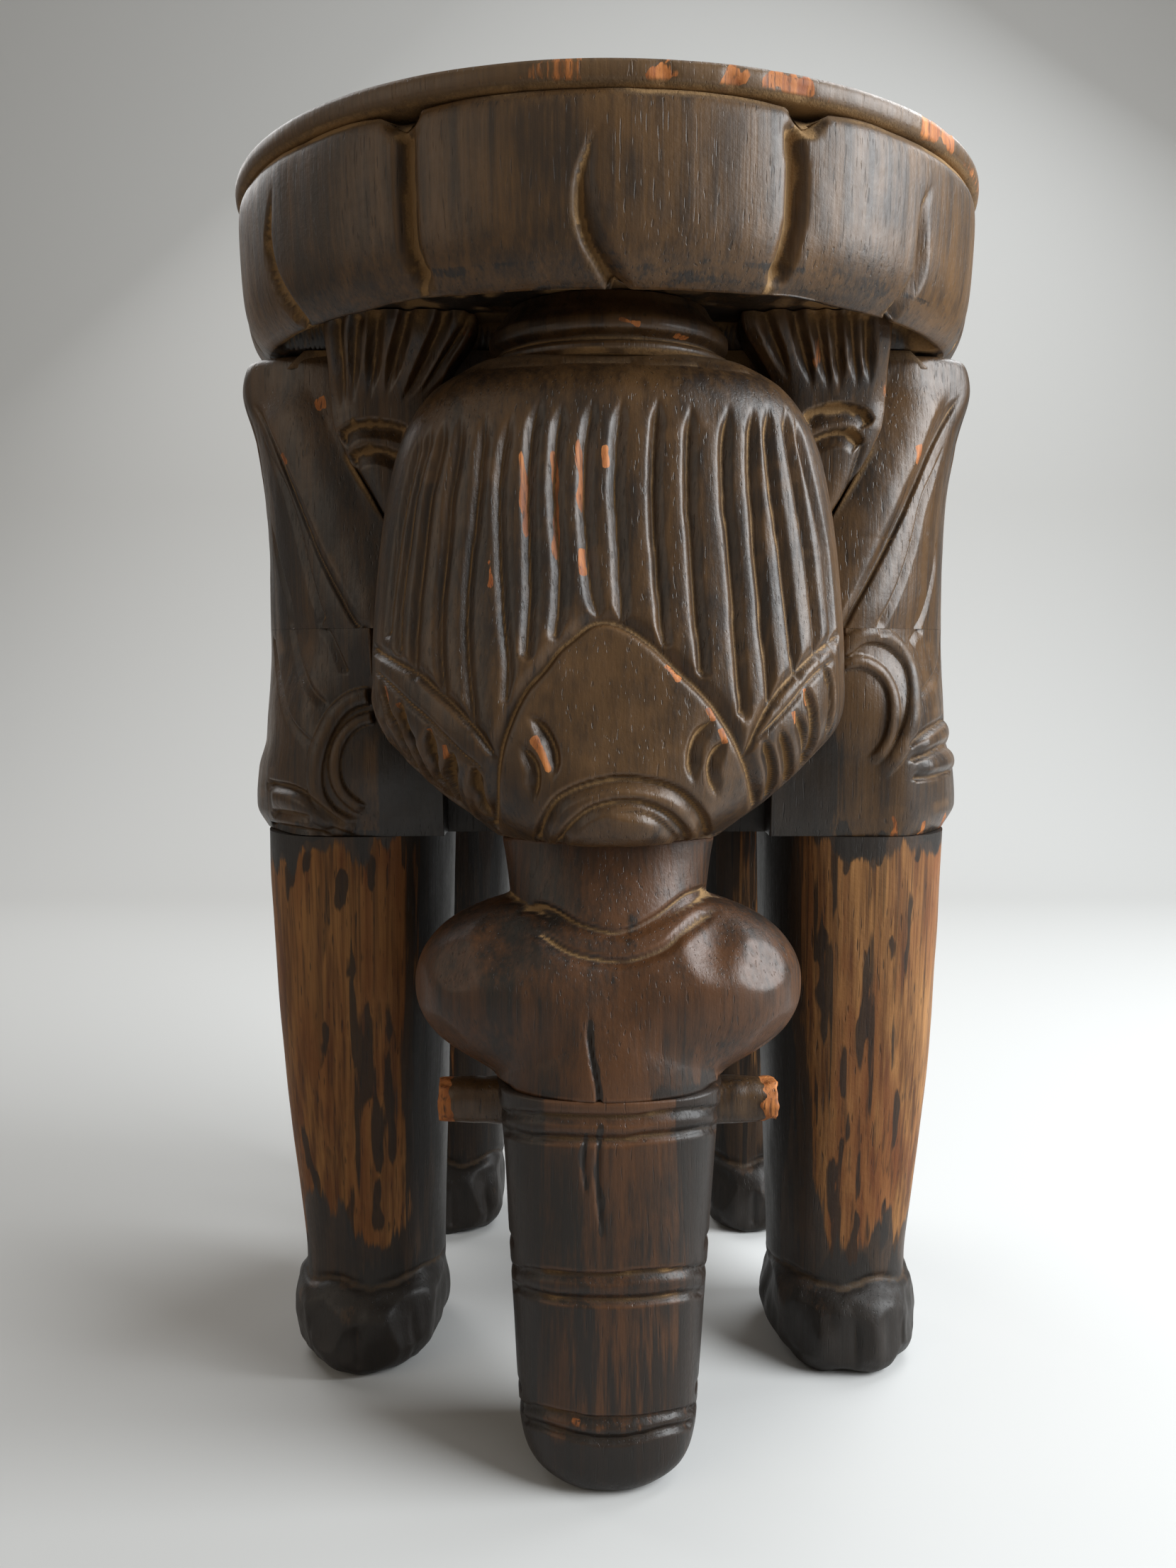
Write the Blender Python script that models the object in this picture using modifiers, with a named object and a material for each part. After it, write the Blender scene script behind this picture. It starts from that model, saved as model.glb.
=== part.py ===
"""Elephant stool: a round petalled seat on a standing elephant, built up from carved blocks.

Metres, +Z up. The head looks along -Y, +X is the viewer's right, and the seat's axis meets
the floor at the origin. The blocks meet at flat glue faces and are held by hidden dowels.
"""
import math

import bmesh
import bpy
from mathutils import Matrix, Vector

# Driving sizes of the whole stool
STOOL_HEIGHT = 0.450
SEAT_RADIUS = 0.144
BELLY_HEIGHT = 0.208
GLUE_GAP = 0.0003
OVERRUN = 0.006
WELD_DISTANCE = 0.00002
ROUND_STEPS = 20
SHARP_DEGREES = 38.0
RING_SPACING_SHARE = 0.6

# Seat board, with the round boss that centres it in the drum
RIM_HEIGHT = 0.0085
RIM_ROUND = 0.0028
RIM_UNDERCUT = 0.0018
RIM_ROUND_STEPS = 3
BOSS_RADIUS = 0.098
BOSS_DEPTH = 0.012

# Petalled drum under the board
DRUM_HEIGHT = 0.0552
PETAL_INSET = 0.0006
PETALS = 7
FIRST_SLOT_DEGREES = -27.3
SEAT_STEPS = 56
SLOT_RADIUS = 0.0042
SLOT_DEPTH = 0.0038
NOTCH_RADIUS = 0.0085
NOTCH_HEIGHT = 0.014
NOTCH_STEPS = 12
SICKLE_RADIUS = 0.0034
SICKLE_BOW_DEGREES = 2.4
SICKLE_HEIGHT_SHARE = 0.75
SICKLE_TAPER_SHARE = 0.7

# Body barrel, with a flat front for the head and a flat back for the tail
BODY_RADIUS = 0.140
BODY_FRONT = 0.052
TAIL_FLAT_DEPTH = 0.009
BODY_RINGS = 9

# Head under its pleated cloth
HEAD_BOTTOM = 0.213
HEAD_HALF_WIDTH = 0.083
HEAD_REACH = 0.0865
HEAD_EDGE_DEPTH = 0.024
HEAD_LIP = 0.004
HEAD_CORE_HALF_WIDTH = 0.058
HEAD_RINGS = 12

# Stacked rings between the head and the seat
COLLAR_RISE = 0.0133
COLLAR_RADIUS = 0.043
COLLAR_SETBACK = 0.013
COLLAR_STEPS = 28

# Face with its two cheeks
FACE_BOTTOM = 0.1313
FACE_HALF_WIDTH = 0.040
FACE_FRONT = 0.135
FACE_BACK = 0.060
FACE_RINGS = 7
FACE_BLUNTNESS = 2.3
CHEEK_HALF_SPACING = 0.0375
CHEEK_SETBACK = 0.092
CHEEK_RADIUS = 0.0300
CHEEK_WIDTH_SHARE = 0.98
CHEEK_RISE = 0.0002
CHEEK_STEPS = 18

# Trunk that reaches the floor
TRUNK_HALF_WIDTH = 0.0385
TRUNK_FRONT = 0.1430
TRUNK_BACK = 0.088
TRUNK_RINGS = 8
TRUNK_GROOVE_DEPTH = 0.0024
TRUNK_GROOVE_HALF_HEIGHT = 0.0022
TRUNK_GROOVE_CLEAR_SHARE = 1.4
TRUNK_BLUNTNESS = 2.5

# Tusk stubs, let into the sides of the trunk
TUSK_RADIUS = 0.0085
TUSK_DROP = 0.0115
TUSK_SETBACK = 0.098
TUSK_ROOT = 0.030
TUSK_END = 0.059

# Tassels that hang beside the head
TASSEL_THICKNESS = 0.0135
TASSEL_OUTER = 0.099
TASSEL_DROP_SHARE = 0.388
TASSEL_CLEARANCE = 0.0008
TASSEL_BEVEL = 0.003
TASSEL_BEVEL_STEPS = 2
TASSEL_FLAT_DEGREES = 1.0
HEAD_CLEARANCE = 0.002

# Ears, let into the corners of the body
EAR_DROP = 0.0070
EAR_PROUD = 0.0025
EAR_THICKNESS = 0.0305
EAR_BACK = 0.047
EAR_RINGS = 11
EAR_INNER = 0.0845
EAR_FRONT = 0.0735
CORNER_FULL_SETBACK = 0.010
CORNER_BLUNTNESS = 0.62
CORNER_STEPS = 7

# Shoulder blocks, which carry the scroll and the hem over the front legs
SHOULDER_HEIGHT_SHARE = 0.43
SHOULDER_PROUD = 0.0015
SHOULDER_FRONT = 0.069
SHOULDER_RINGS = 5
SCROLL_RADIUS_SHARE = 0.2875
SCROLL_CORD_RADIUS = 0.0030
SCROLL_EDGE = 0.0020
SCROLL_SINK_SHARE = 0.5
SCROLL_CENTRE_SIDE = 0.0920
SCROLL_START_DEGREES = 115.0
SCROLL_SWEEP_DEGREES = 215.0
SCROLL_STEPS = 14

# Legs
LEG_RINGS = 7
FRONT_LEG_SIDE_SHARE = 0.6821
FRONT_LEG_SETBACK = 0.031
FRONT_LEG_HALF_WIDTH = 0.0355
FRONT_LEG_HALF_DEPTH = 0.037
REAR_LEG_SIDE_SHARE = 0.5143
REAR_LEG_SETBACK_SHARE = 0.5857
REAR_LEG_HALF_WIDTH = 0.028
REAR_LEG_HALF_DEPTH = 0.028
TOE_GROOVE_RADIUS = 0.0030
TOE_GROOVE_HEIGHT = 0.022
TOE_GROOVE_STEPS = 10
TOE_SPREAD_SHARE = 0.30
LEG_BLUNTNESS = 2.4

# Tail on the flat of the rump
TAIL_TOP_SHARE = 0.713
TAIL_HANG = 0.036
TAIL_HALF_WIDTH = 0.0095
TAIL_THICKNESS = 0.0115
TAIL_RINGS = 7

# Dowels
DOWEL_STEPS = 12
DOWEL_FIT = 0.0003
SEAT_DOWEL = {"radius": 0.007, "length": 0.044}
NECK_DOWEL_RADIUS = 0.006
NECK_DOWEL_BITE = 0.019
HEAD_DOWEL = {"radius": 0.005, "length": 0.060}
FACE_DOWEL = {"radius": 0.006, "length": 0.046}
TRUNK_DOWEL = {"radius": 0.006, "length": 0.046}
LEG_DOWEL = {"radius": 0.008, "length": 0.056}
SHOULDER_DOWEL = {"radius": 0.0045, "length": 0.022}
EAR_DOWEL = {"radius": 0.0045, "length": 0.030}
HEAD_DOWEL_SIDE = 0.030
NECK_DOWEL_SETBACK = 0.080
FACE_DOWEL_SETBACK = 0.088
TRUNK_DOWEL_SETBACK = 0.110
LEG_DOWEL_INSET = 0.006
EAR_DOWEL_SETBACK = 0.010

# Heights and planes that follow from the sizes above
PETAL_RADIUS = SEAT_RADIUS - PETAL_INSET
BOARD_UNDER = STOOL_HEIGHT - RIM_HEIGHT
DRUM_TOP = BOARD_UNDER - GLUE_GAP
SEAT_UNDER = DRUM_TOP - DRUM_HEIGHT
BODY_TOP = SEAT_UNDER - GLUE_GAP
TORSO_HEIGHT = SEAT_UNDER - BELLY_HEIGHT
LEG_TOP = BELLY_HEIGHT - GLUE_GAP
BODY_BACK = BODY_RADIUS - TAIL_FLAT_DEPTH
HEAD_TOP = SEAT_UNDER - COLLAR_RISE
EAR_TOP = SEAT_UNDER - EAR_DROP
SHOULDER_HEIGHT = TORSO_HEIGHT * SHOULDER_HEIGHT_SHARE
SCROLL_RADIUS = SHOULDER_HEIGHT * SCROLL_RADIUS_SHARE
TASSEL_DROP = TORSO_HEIGHT * TASSEL_DROP_SHARE
TAIL_TOP = BELLY_HEIGHT + TORSO_HEIGHT * TAIL_TOP_SHARE
TAIL_BOTTOM = BELLY_HEIGHT - TAIL_HANG
EAR_BOTTOM = BELLY_HEIGHT + SHOULDER_HEIGHT
EAR_REACH = BODY_RADIUS + EAR_PROUD
SHOULDER_REACH = BODY_RADIUS + SHOULDER_PROUD
POCKET_SIDE = EAR_REACH - EAR_THICKNESS
FRONT_LEG_SIDE = BODY_RADIUS * FRONT_LEG_SIDE_SHARE
REAR_LEG_SIDE = BODY_RADIUS * REAR_LEG_SIDE_SHARE
REAR_LEG_SETBACK = BODY_RADIUS * REAR_LEG_SETBACK_SHARE
HEAD_BACK_Y = -BODY_FRONT - GLUE_GAP
HEAD_EDGE_Y = HEAD_BACK_Y - HEAD_EDGE_DEPTH
FACE_TOP = HEAD_BOTTOM - GLUE_GAP
TRUNK_TOP = FACE_BOTTOM - GLUE_GAP
TUSK_HEIGHT = TRUNK_TOP - TUSK_DROP
EAR_SIDE_X = POCKET_SIDE + GLUE_GAP

# Shapes as shares of the sizes above, each row from the bottom up
petal_profile_shares = ((0.926, 0.0), (0.950, 0.055), (0.976, 0.17), (0.992, 0.36), (1.0, 0.72),
                        (0.998, 0.92), (0.984, 1.0))
# Body rows: height, radius
body_shares = ((0.0, 0.975), (0.04, 0.995), (0.10, 0.995), (0.17, 0.965), (0.40, 0.957),
               (0.90, 0.950), (0.965, 0.915), (1.0, 0.875))
# Head rows: height, half width, reach of the front, roundness
head_shares = ((0.0, 0.50, 0.925, 1.8), (0.03, 0.57, 0.985, 1.9), (0.08, 0.70, 1.0, 2.0),
               (0.16, 0.86, 0.985, 2.2), (0.25, 0.985, 0.945, 2.4), (0.36, 1.0, 0.905, 2.4),
               (0.55, 0.975, 0.82, 2.4), (0.74, 0.925, 0.765, 2.4), (0.87, 0.845, 0.72, 2.5),
               (0.95, 0.735, 0.67, 2.5), (1.0, 0.575, 0.57, 2.4))
# Face rows: height, half width, front
face_shares = ((0.0, 1.0, 1.0), (0.12, 0.96, 0.992), (0.32, 0.86, 0.963), (0.55, 0.83, 0.918),
               (0.75, 0.86, 0.868), (0.90, 0.90, 0.835), (1.0, 0.94, 0.822))
# Trunk rows: height, half width, front, back
trunk_shares = ((0.0, 0.40, 0.955, 1.14), (0.015, 0.54, 0.982, 1.10), (0.05, 0.70, 0.998, 1.05),
                (0.11, 0.775, 1.0, 1.03), (0.20, 0.80, 0.997, 1.02), (0.47, 0.86, 0.980, 1.0),
                (0.85, 0.94, 0.950, 0.965), (1.0, 1.0, 0.944, 0.93))
# Ear rows: height, rim across, rim forward, side, back edge, inner corner forward
ear_shares = ((0.0, 0.612, 0.965, 0.947, 0.3, 0.99), (0.09, 0.64, 0.95, 0.948, 0.42, 0.99),
              (0.228, 0.69, 0.895, 0.953, 0.6, 0.98), (0.513, 0.793, 0.76, 0.968, 0.94, 0.94),
              (0.746, 0.884, 0.64, 0.986, 1.0, 0.9), (0.915, 0.954, 0.556, 0.998, 0.81, 0.86),
              (1.0, 0.92, 0.575, 0.955, 0.56, 0.86))
# Shoulder rows: height, side, front
shoulder_shares = ((0.0, 0.965, 0.96), (0.10, 0.995, 0.985), (0.30, 0.985, 1.0),
                   (0.45, 0.962, 0.995), (1.0, 0.950, 0.955))
# Seat dowel places: to the side and back, of the body's radius
seat_dowel_shares = ((0.536, -0.143), (0.393, 0.571))
# Carved rings of the trunk, as heights
trunk_groove_shares = (0.160, 0.222, 0.520, 0.595, 0.924)
# Collar rows: height, radius
collar_shares = ((0.0, 0.94), (0.14, 0.98), (0.34, 0.98), (0.54, 0.88), (0.60, 0.88),
                 (0.80, 0.91), (1.0, 0.82))
# The flat front of a corner block: places between its inner edge and its rim
corner_front_shares = (0.35, 0.70, 0.92)
# The shoulder's rim: place between its inner edge and its glued side
shoulder_rim_share = 0.92
# Tassel outline: across from the inner edge to the outer one, down from the top
tassel_shares = ((1.0, 0.0), (0.995, 0.34), (0.97, 0.43), (0.85, 0.58), (0.60, 0.82),
                 (0.37, 0.985), (0.26, 1.0), (0.10, 0.93), (0.0, 0.75))
# Leg rows: height, half width, half depth, forward shift, sideways shift, all of the leg's sizes
leg_shares = ((0.0, 0.60, 0.80, 0.19, -0.06), (0.018, 0.74, 0.92, 0.17, -0.04),
              (0.06, 0.845, 0.985, 0.16, -0.04), (0.10, 0.855, 0.975, 0.14, -0.04),
              (0.135, 0.82, 0.90, 0.10, -0.05), (0.165, 0.765, 0.80, 0.02, -0.07),
              (0.24, 0.785, 0.815, 0.0, -0.06), (0.54, 0.91, 0.91, 0.0, -0.01),
              (0.80, 0.97, 0.97, 0.0, 0.0), (1.0, 1.0, 1.0, 0.0, 0.0))
# Tail rows: height, half width, thickness
tail_shares = ((0.0, 0.28, 0.30), (0.05, 0.75, 0.75), (0.15, 1.0, 1.0), (0.25, 0.62, 0.80),
               (0.32, 0.44, 0.66), (0.70, 0.52, 0.76), (0.95, 0.72, 0.82), (1.0, 0.60, 0.60))

STAIN = (0.060, 0.036, 0.022)
WARM_STAIN = (0.105, 0.056, 0.030)
WORN_WOOD = (0.300, 0.150, 0.070)
BARE_WOOD = (0.520, 0.290, 0.140)


def clear_scene():
    for item in list(bpy.data.objects):
        bpy.data.objects.remove(item, do_unlink=True)


def new_collection(name):
    found = bpy.data.collections.new(name)
    bpy.context.scene.collection.children.link(found)
    return found


def wood(name, colour, roughness):
    material = bpy.data.materials.new(name)
    material.use_nodes = True
    shader = material.node_tree.nodes["Principled BSDF"]
    shader.inputs["Base Color"].default_value = (*colour, 1.0)
    shader.inputs["Roughness"].default_value = roughness
    shader.inputs["Metallic"].default_value = 0.0
    material.diffuse_color = (*colour, 1.0)
    return material


def finish(piece, colour, roughness=0.45):
    """Give a piece its own wood material, and smooth shading up to its sharp edges."""
    piece.data.materials.clear()
    piece.data.materials.append(wood(piece.name + "_wood", colour, roughness))
    piece.data.shade_smooth()
    piece.data.set_sharp_from_angle(angle=math.radians(SHARP_DEGREES))
    return piece


def object_from(bm, name, collection):
    mesh = bpy.data.meshes.new(name)
    bm.to_mesh(mesh)
    bm.free()
    piece = bpy.data.objects.new(name, mesh)
    collection.objects.link(piece)
    return piece


def smooth_row(rows, share):
    """Values at a share of the height, on a smooth curve through the rows."""
    last = len(rows) - 1
    step = next((i for i in range(last) if share <= rows[i + 1][0]), last - 1)
    low, high = rows[step], rows[step + 1]
    before, after = rows[max(step - 1, 0)], rows[min(step + 2, last)]
    span = high[0] - low[0]
    t = min(max((share - low[0]) / span, 0.0), 1.0)
    values = []
    for k in range(1, len(low)):
        rise = (high[k] - low[k]) / span
        start = (high[k] - before[k]) / (high[0] - before[0])
        end = (after[k] - low[k]) / (after[0] - low[0])
        if (high[k] - low[k]) * (low[k] - before[k]) <= 0 and step > 0:
            start = 0.0
        if (after[k] - high[k]) * (high[k] - low[k]) <= 0 and step < last - 1:
            end = 0.0
        start = rise if step == 0 else start
        end = rise if step == last - 1 else end
        cubic = (2 * t**3 - 3 * t**2 + 1) * low[k] + (3 * t**2 - 2 * t**3) * high[k]
        cubic += span * ((t**3 - 2 * t**2 + t) * start + (t**3 - t**2) * end)
        values.append(cubic)
    return values


def ring_heights(rows, count):
    """Shares of the height for the rings: every row, and even steps between them."""
    shares = {round(i / (count - 1), 4) for i in range(count)}
    near = RING_SPACING_SHARE / count
    shares = {s for s in shares if all(abs(s - row[0]) > near for row in rows)}
    return sorted(shares | {row[0] for row in rows})


def signed_power(value, power):
    return math.copysign(abs(value) ** power, value)


def oval(side, front, back, half_width, height, roundness=2.0, steps=ROUND_STEPS):
    """A closed oval ring; front and back are its y limits, and the round side may be blunt."""
    middle = (front + back) / 2
    half_depth = (back - front) / 2
    ring = []
    for i in range(steps):
        angle = math.tau * i / steps
        x = side + half_width * signed_power(math.cos(angle), 2 / roundness)
        y = middle + half_depth * signed_power(math.sin(angle), 2 / roundness)
        ring.append(Vector((x, y, height)))
    return ring


def loft(name, rings, collection):
    """Skin flat rings of equal count, listed from the bottom up and anticlockwise from above."""
    bm = bmesh.new()
    loops = [[bm.verts.new(point) for point in ring] for ring in rings]
    for low, high in zip(loops, loops[1:]):
        for i, point in enumerate(low):
            j = (i + 1) % len(low)
            bm.faces.new((point, low[j], high[j], high[i]))
    bm.faces.new(list(reversed(loops[0])))
    bm.faces.new(loops[-1])
    return object_from(bm, name, collection)


def turned(name, profile, steps, collection):
    """A solid of revolution about Z; the profile runs from the axis, down its outer side."""
    bm = bmesh.new()
    points = [bm.verts.new((radius, 0.0, height)) for radius, height in profile]
    for a, b in zip(points, points[1:]):
        bm.edges.new((a, b))
    piece = object_from(bm, name, collection)
    screw = piece.modifiers.new("turn", "SCREW")
    screw.steps = steps
    screw.render_steps = steps
    screw.use_merge_vertices = True
    screw.merge_threshold = WELD_DISTANCE
    screw.use_smooth_shade = True
    return piece


def tube_mesh(points, radii, bevel_radius):
    """A round tube through the points, as a welded mesh."""
    curve = bpy.data.curves.new("tube", "CURVE")
    curve.dimensions = "3D"
    curve.bevel_depth = bevel_radius
    curve.bevel_resolution = 1
    curve.use_fill_caps = True
    spline = curve.splines.new("POLY")
    spline.points.add(len(points) - 1)
    for target, point, radius in zip(spline.points, points, radii):
        target.co = (*point, 1.0)
        target.radius = radius
    holder = bpy.data.objects.new("tube", curve)
    bpy.context.scene.collection.objects.link(holder)
    graph = bpy.context.evaluated_depsgraph_get()
    mesh = bpy.data.meshes.new_from_object(holder.evaluated_get(graph))
    bpy.data.objects.remove(holder, do_unlink=True)
    bm = bmesh.new()
    bm.from_mesh(mesh)
    bmesh.ops.remove_doubles(bm, verts=bm.verts, dist=WELD_DISTANCE)
    bmesh.ops.recalc_face_normals(bm, faces=bm.faces)
    bm.to_mesh(mesh)
    bm.free()
    return mesh


def copies_in_ring(mesh, angles, name, collection):
    """One object holding a copy of the mesh turned about Z to each angle."""
    bm = bmesh.new()
    for angle in angles:
        part = mesh.copy()
        part.transform(Matrix.Rotation(angle, 4, "Z"))
        bm.from_mesh(part)
        bpy.data.meshes.remove(part)
    return object_from(bm, name, collection)


def mirrored(piece, name, collection):
    """The same piece on the other side of the YZ plane."""
    bm = bmesh.new()
    bm.from_mesh(piece.data)
    bmesh.ops.transform(bm, matrix=Matrix.Scale(-1.0, 4, Vector((1.0, 0.0, 0.0))), verts=bm.verts)
    bmesh.ops.reverse_faces(bm, faces=bm.faces)
    return object_from(bm, name, collection)


def as_cutter(cutter):
    cutter.hide_render = True
    cutter.display_type = "WIRE"
    return cutter


def combine(piece, other, operation):
    """Cut a piece by another or join them, and keep the other as a hidden cutter."""
    as_cutter(other)
    boolean = piece.modifiers.new(other.name, "BOOLEAN")
    boolean.operation = operation
    boolean.object = other
    boolean.solver = "EXACT"
    return piece


def rod_into(bm, centre, axis, radius, length, steps=DOWEL_STEPS):
    """Add a cylinder to a mesh in the making."""
    turn = Vector((0.0, 0.0, 1.0)).rotation_difference(Vector(axis)).to_matrix().to_4x4()
    place = Matrix.Translation(centre) @ turn
    bmesh.ops.create_cone(bm, cap_ends=True, segments=steps, radius1=radius, radius2=radius,
                          depth=length, matrix=place)


UP = (0.0, 0.0, 1.0)
FORWARD = (0.0, 1.0, 0.0)
SIDEWAYS = (1.0, 0.0, 0.0)


def dowel_list():
    """Every dowel with its place, and the pieces that it is driven into."""
    found = []

    def add(name, size, centre, axis, pieces):
        found.append({"name": name, "centre": centre, "axis": axis, "pieces": pieces, **size})

    for row, (side, back) in zip(("front", "rear"), seat_dowel_shares):
        for hand, sign in (("left", -1), ("right", 1)):
            add(f"seat_dowel_{row}_{hand}", SEAT_DOWEL,
                (sign * BODY_RADIUS * side, BODY_RADIUS * back, SEAT_UNDER), UP,
                ("seat_drum", "body"))
    neck = {"radius": NECK_DOWEL_RADIUS, "length": COLLAR_RISE + 2 * NECK_DOWEL_BITE}
    add("neck_dowel", neck, (0.0, -NECK_DOWEL_SETBACK, (HEAD_TOP + SEAT_UNDER) / 2), UP,
        ("head", "collar", "seat_drum"))
    head_middle = (HEAD_BOTTOM + HEAD_TOP) / 2
    shoulder_middle = BELLY_HEIGHT + SHOULDER_HEIGHT / 2
    shoulder_dowel_side = (HEAD_CORE_HALF_WIDTH + HEAD_CLEARANCE + EAR_SIDE_X) / 2
    ear_middle = (EAR_BOTTOM + EAR_TOP) / 2
    for hand, sign in (("left", -1), ("right", 1)):
        add(f"head_dowel_{hand}", HEAD_DOWEL,
            (sign * HEAD_DOWEL_SIDE, HEAD_BACK_Y, head_middle), FORWARD, ("head", "body"))
        add(f"shoulder_dowel_{hand}", SHOULDER_DOWEL,
            (sign * shoulder_dowel_side, HEAD_BACK_Y, shoulder_middle), FORWARD,
            (f"shoulder_{hand}", "body"))
        add(f"ear_dowel_{hand}", EAR_DOWEL,
            (sign * EAR_SIDE_X, EAR_DOWEL_SETBACK, ear_middle), SIDEWAYS,
            (f"ear_{hand}", "body"))
        add(f"leg_dowel_front_{hand}", LEG_DOWEL,
            (sign * (FRONT_LEG_SIDE - LEG_DOWEL_INSET), -FRONT_LEG_SETBACK + LEG_DOWEL["radius"],
             BELLY_HEIGHT), UP,
            (f"leg_front_{hand}", "body"))
        add(f"leg_dowel_rear_{hand}", LEG_DOWEL,
            (sign * REAR_LEG_SIDE, REAR_LEG_SETBACK, BELLY_HEIGHT), UP,
            (f"leg_rear_{hand}", "body"))
    add("face_dowel", FACE_DOWEL, (0.0, -FACE_DOWEL_SETBACK, HEAD_BOTTOM), UP, ("head", "face"))
    add("trunk_dowel", TRUNK_DOWEL, (0.0, -TRUNK_DOWEL_SETBACK, FACE_BOTTOM), UP,
        ("face", "trunk"))
    return found


def make_seat_board(parts):
    profile = [(0.0, STOOL_HEIGHT), (SEAT_RADIUS - RIM_ROUND, STOOL_HEIGHT)]
    for i in range(1, RIM_ROUND_STEPS + 1):
        angle = math.pi / 2 * i / RIM_ROUND_STEPS
        profile.append((SEAT_RADIUS - RIM_ROUND * (1 - math.sin(angle)),
                        STOOL_HEIGHT - RIM_ROUND * (1 - math.cos(angle))))
    profile += [(SEAT_RADIUS, BOARD_UNDER + RIM_UNDERCUT),
                (SEAT_RADIUS - RIM_UNDERCUT, BOARD_UNDER),
                (BOSS_RADIUS, BOARD_UNDER), (BOSS_RADIUS, BOARD_UNDER - BOSS_DEPTH),
                (0.0, BOARD_UNDER - BOSS_DEPTH)]
    return finish(turned("seat_board", profile, SEAT_STEPS, parts), STAIN, 0.38)


def petal_points(shift):
    """Points up the drum's outer side at angle zero, pushed out by a shift."""
    points = []
    for radius_share, height_share in petal_profile_shares:
        radius = PETAL_RADIUS * radius_share + shift
        points.append(Vector((radius, 0.0, SEAT_UNDER + DRUM_HEIGHT * height_share)))
    return points


def make_seat_drum(parts, cutters):
    recess = BOARD_UNDER - BOSS_DEPTH - GLUE_GAP
    profile = [(0.0, recess), (BOSS_RADIUS + GLUE_GAP, recess), (BOSS_RADIUS + GLUE_GAP, DRUM_TOP)]
    for radius_share, height_share in reversed(petal_profile_shares):
        profile.append((PETAL_RADIUS * radius_share, SEAT_UNDER + DRUM_HEIGHT * height_share))
    profile.append((0.0, SEAT_UNDER))
    drum = turned("seat_drum", profile, SEAT_STEPS, parts)

    first = math.radians(FIRST_SLOT_DEGREES - 90.0)
    slot_angles = [first + math.tau * i / PETALS for i in range(PETALS)]
    middle_angles = [angle + math.pi / PETALS for angle in slot_angles]

    path = petal_points(SLOT_RADIUS - SLOT_DEPTH)
    path.insert(0, path[0] - Vector((OVERRUN, 0.0, OVERRUN)))
    path.append(path[-1] + Vector((0.0, 0.0, OVERRUN)))
    slot = tube_mesh(path, [1.0] * len(path), SLOT_RADIUS)
    combine(drum, copies_in_ring(slot, slot_angles, "slot_cutter", cutters), "DIFFERENCE")

    bm = bmesh.new()
    drop = Matrix.Translation((PETAL_RADIUS, 0.0, DRUM_TOP + OVERRUN - NOTCH_HEIGHT / 2))
    bmesh.ops.create_cone(bm, cap_ends=True, segments=NOTCH_STEPS, radius1=SLOT_DEPTH / 4,
                          radius2=NOTCH_RADIUS, depth=NOTCH_HEIGHT, matrix=drop)
    notch = bpy.data.meshes.new("notch")
    bm.to_mesh(notch)
    bm.free()
    combine(drum, copies_in_ring(notch, slot_angles, "notch_cutter", cutters), "DIFFERENCE")

    bowed = []
    radii = []
    sickle_path = [point for point, row in zip(petal_points(0.0), petal_profile_shares)
                   if row[1] < SICKLE_HEIGHT_SHARE]
    for i, point in enumerate(sickle_path):
        share = i / (len(sickle_path) - 1)
        bow = math.radians(SICKLE_BOW_DEGREES) * math.cos(math.pi * share)
        bowed.append(Matrix.Rotation(bow, 3, "Z") @ point)
        radii.append(1.0 - SICKLE_TAPER_SHARE * share)
    bowed.insert(0, bowed[0] - Vector((OVERRUN, 0.0, OVERRUN)))
    radii.insert(0, 1.0)
    sickle = tube_mesh(bowed, radii, SICKLE_RADIUS)
    combine(drum, copies_in_ring(sickle, middle_angles, "sickle_cutter", cutters), "DIFFERENCE")
    return finish(drum, STAIN, 0.40)


def back_edge(share):
    """The ear's back edge as a y value, at a share of the ear's height."""
    return EAR_BACK * smooth_row(ear_shares, share)[3]


def make_body(parts, cutters):
    rings = []
    for share in ring_heights(body_shares, BODY_RINGS):
        radius = BODY_RADIUS * smooth_row(body_shares, share)[0]
        height = BELLY_HEIGHT + (BODY_TOP - BELLY_HEIGHT) * share
        ring = oval(0.0, -radius, radius, radius, height, steps=2 * ROUND_STEPS)
        for point in ring:
            point.y = min(max(point.y, -BODY_FRONT), BODY_BACK)
        rings.append(ring)
    body = loft("body", rings, parts)

    outside = BODY_RADIUS + OVERRUN
    pocket_rows = [(BELLY_HEIGHT - OVERRUN, back_edge(0.0))]
    for share in ring_heights(ear_shares, EAR_RINGS):
        pocket_rows.append((EAR_BOTTOM + (EAR_TOP - EAR_BOTTOM) * share, back_edge(share)))
    pocket_rows.append((EAR_TOP + GLUE_GAP, pocket_rows[-1][1]))
    pocket = []
    for height, back in pocket_rows:
        y = back + GLUE_GAP
        front = -BODY_FRONT - OVERRUN
        pocket.append([Vector((POCKET_SIDE, front, height)), Vector((outside, front, height)),
                       Vector((outside, y, height)), Vector((POCKET_SIDE, y, height))])
    right = loft("pocket_cutter_right", pocket, cutters)
    combine(body, right, "DIFFERENCE")
    combine(body, mirrored(right, "pocket_cutter_left", cutters), "DIFFERENCE")
    return finish(body, STAIN, 0.48)


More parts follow.
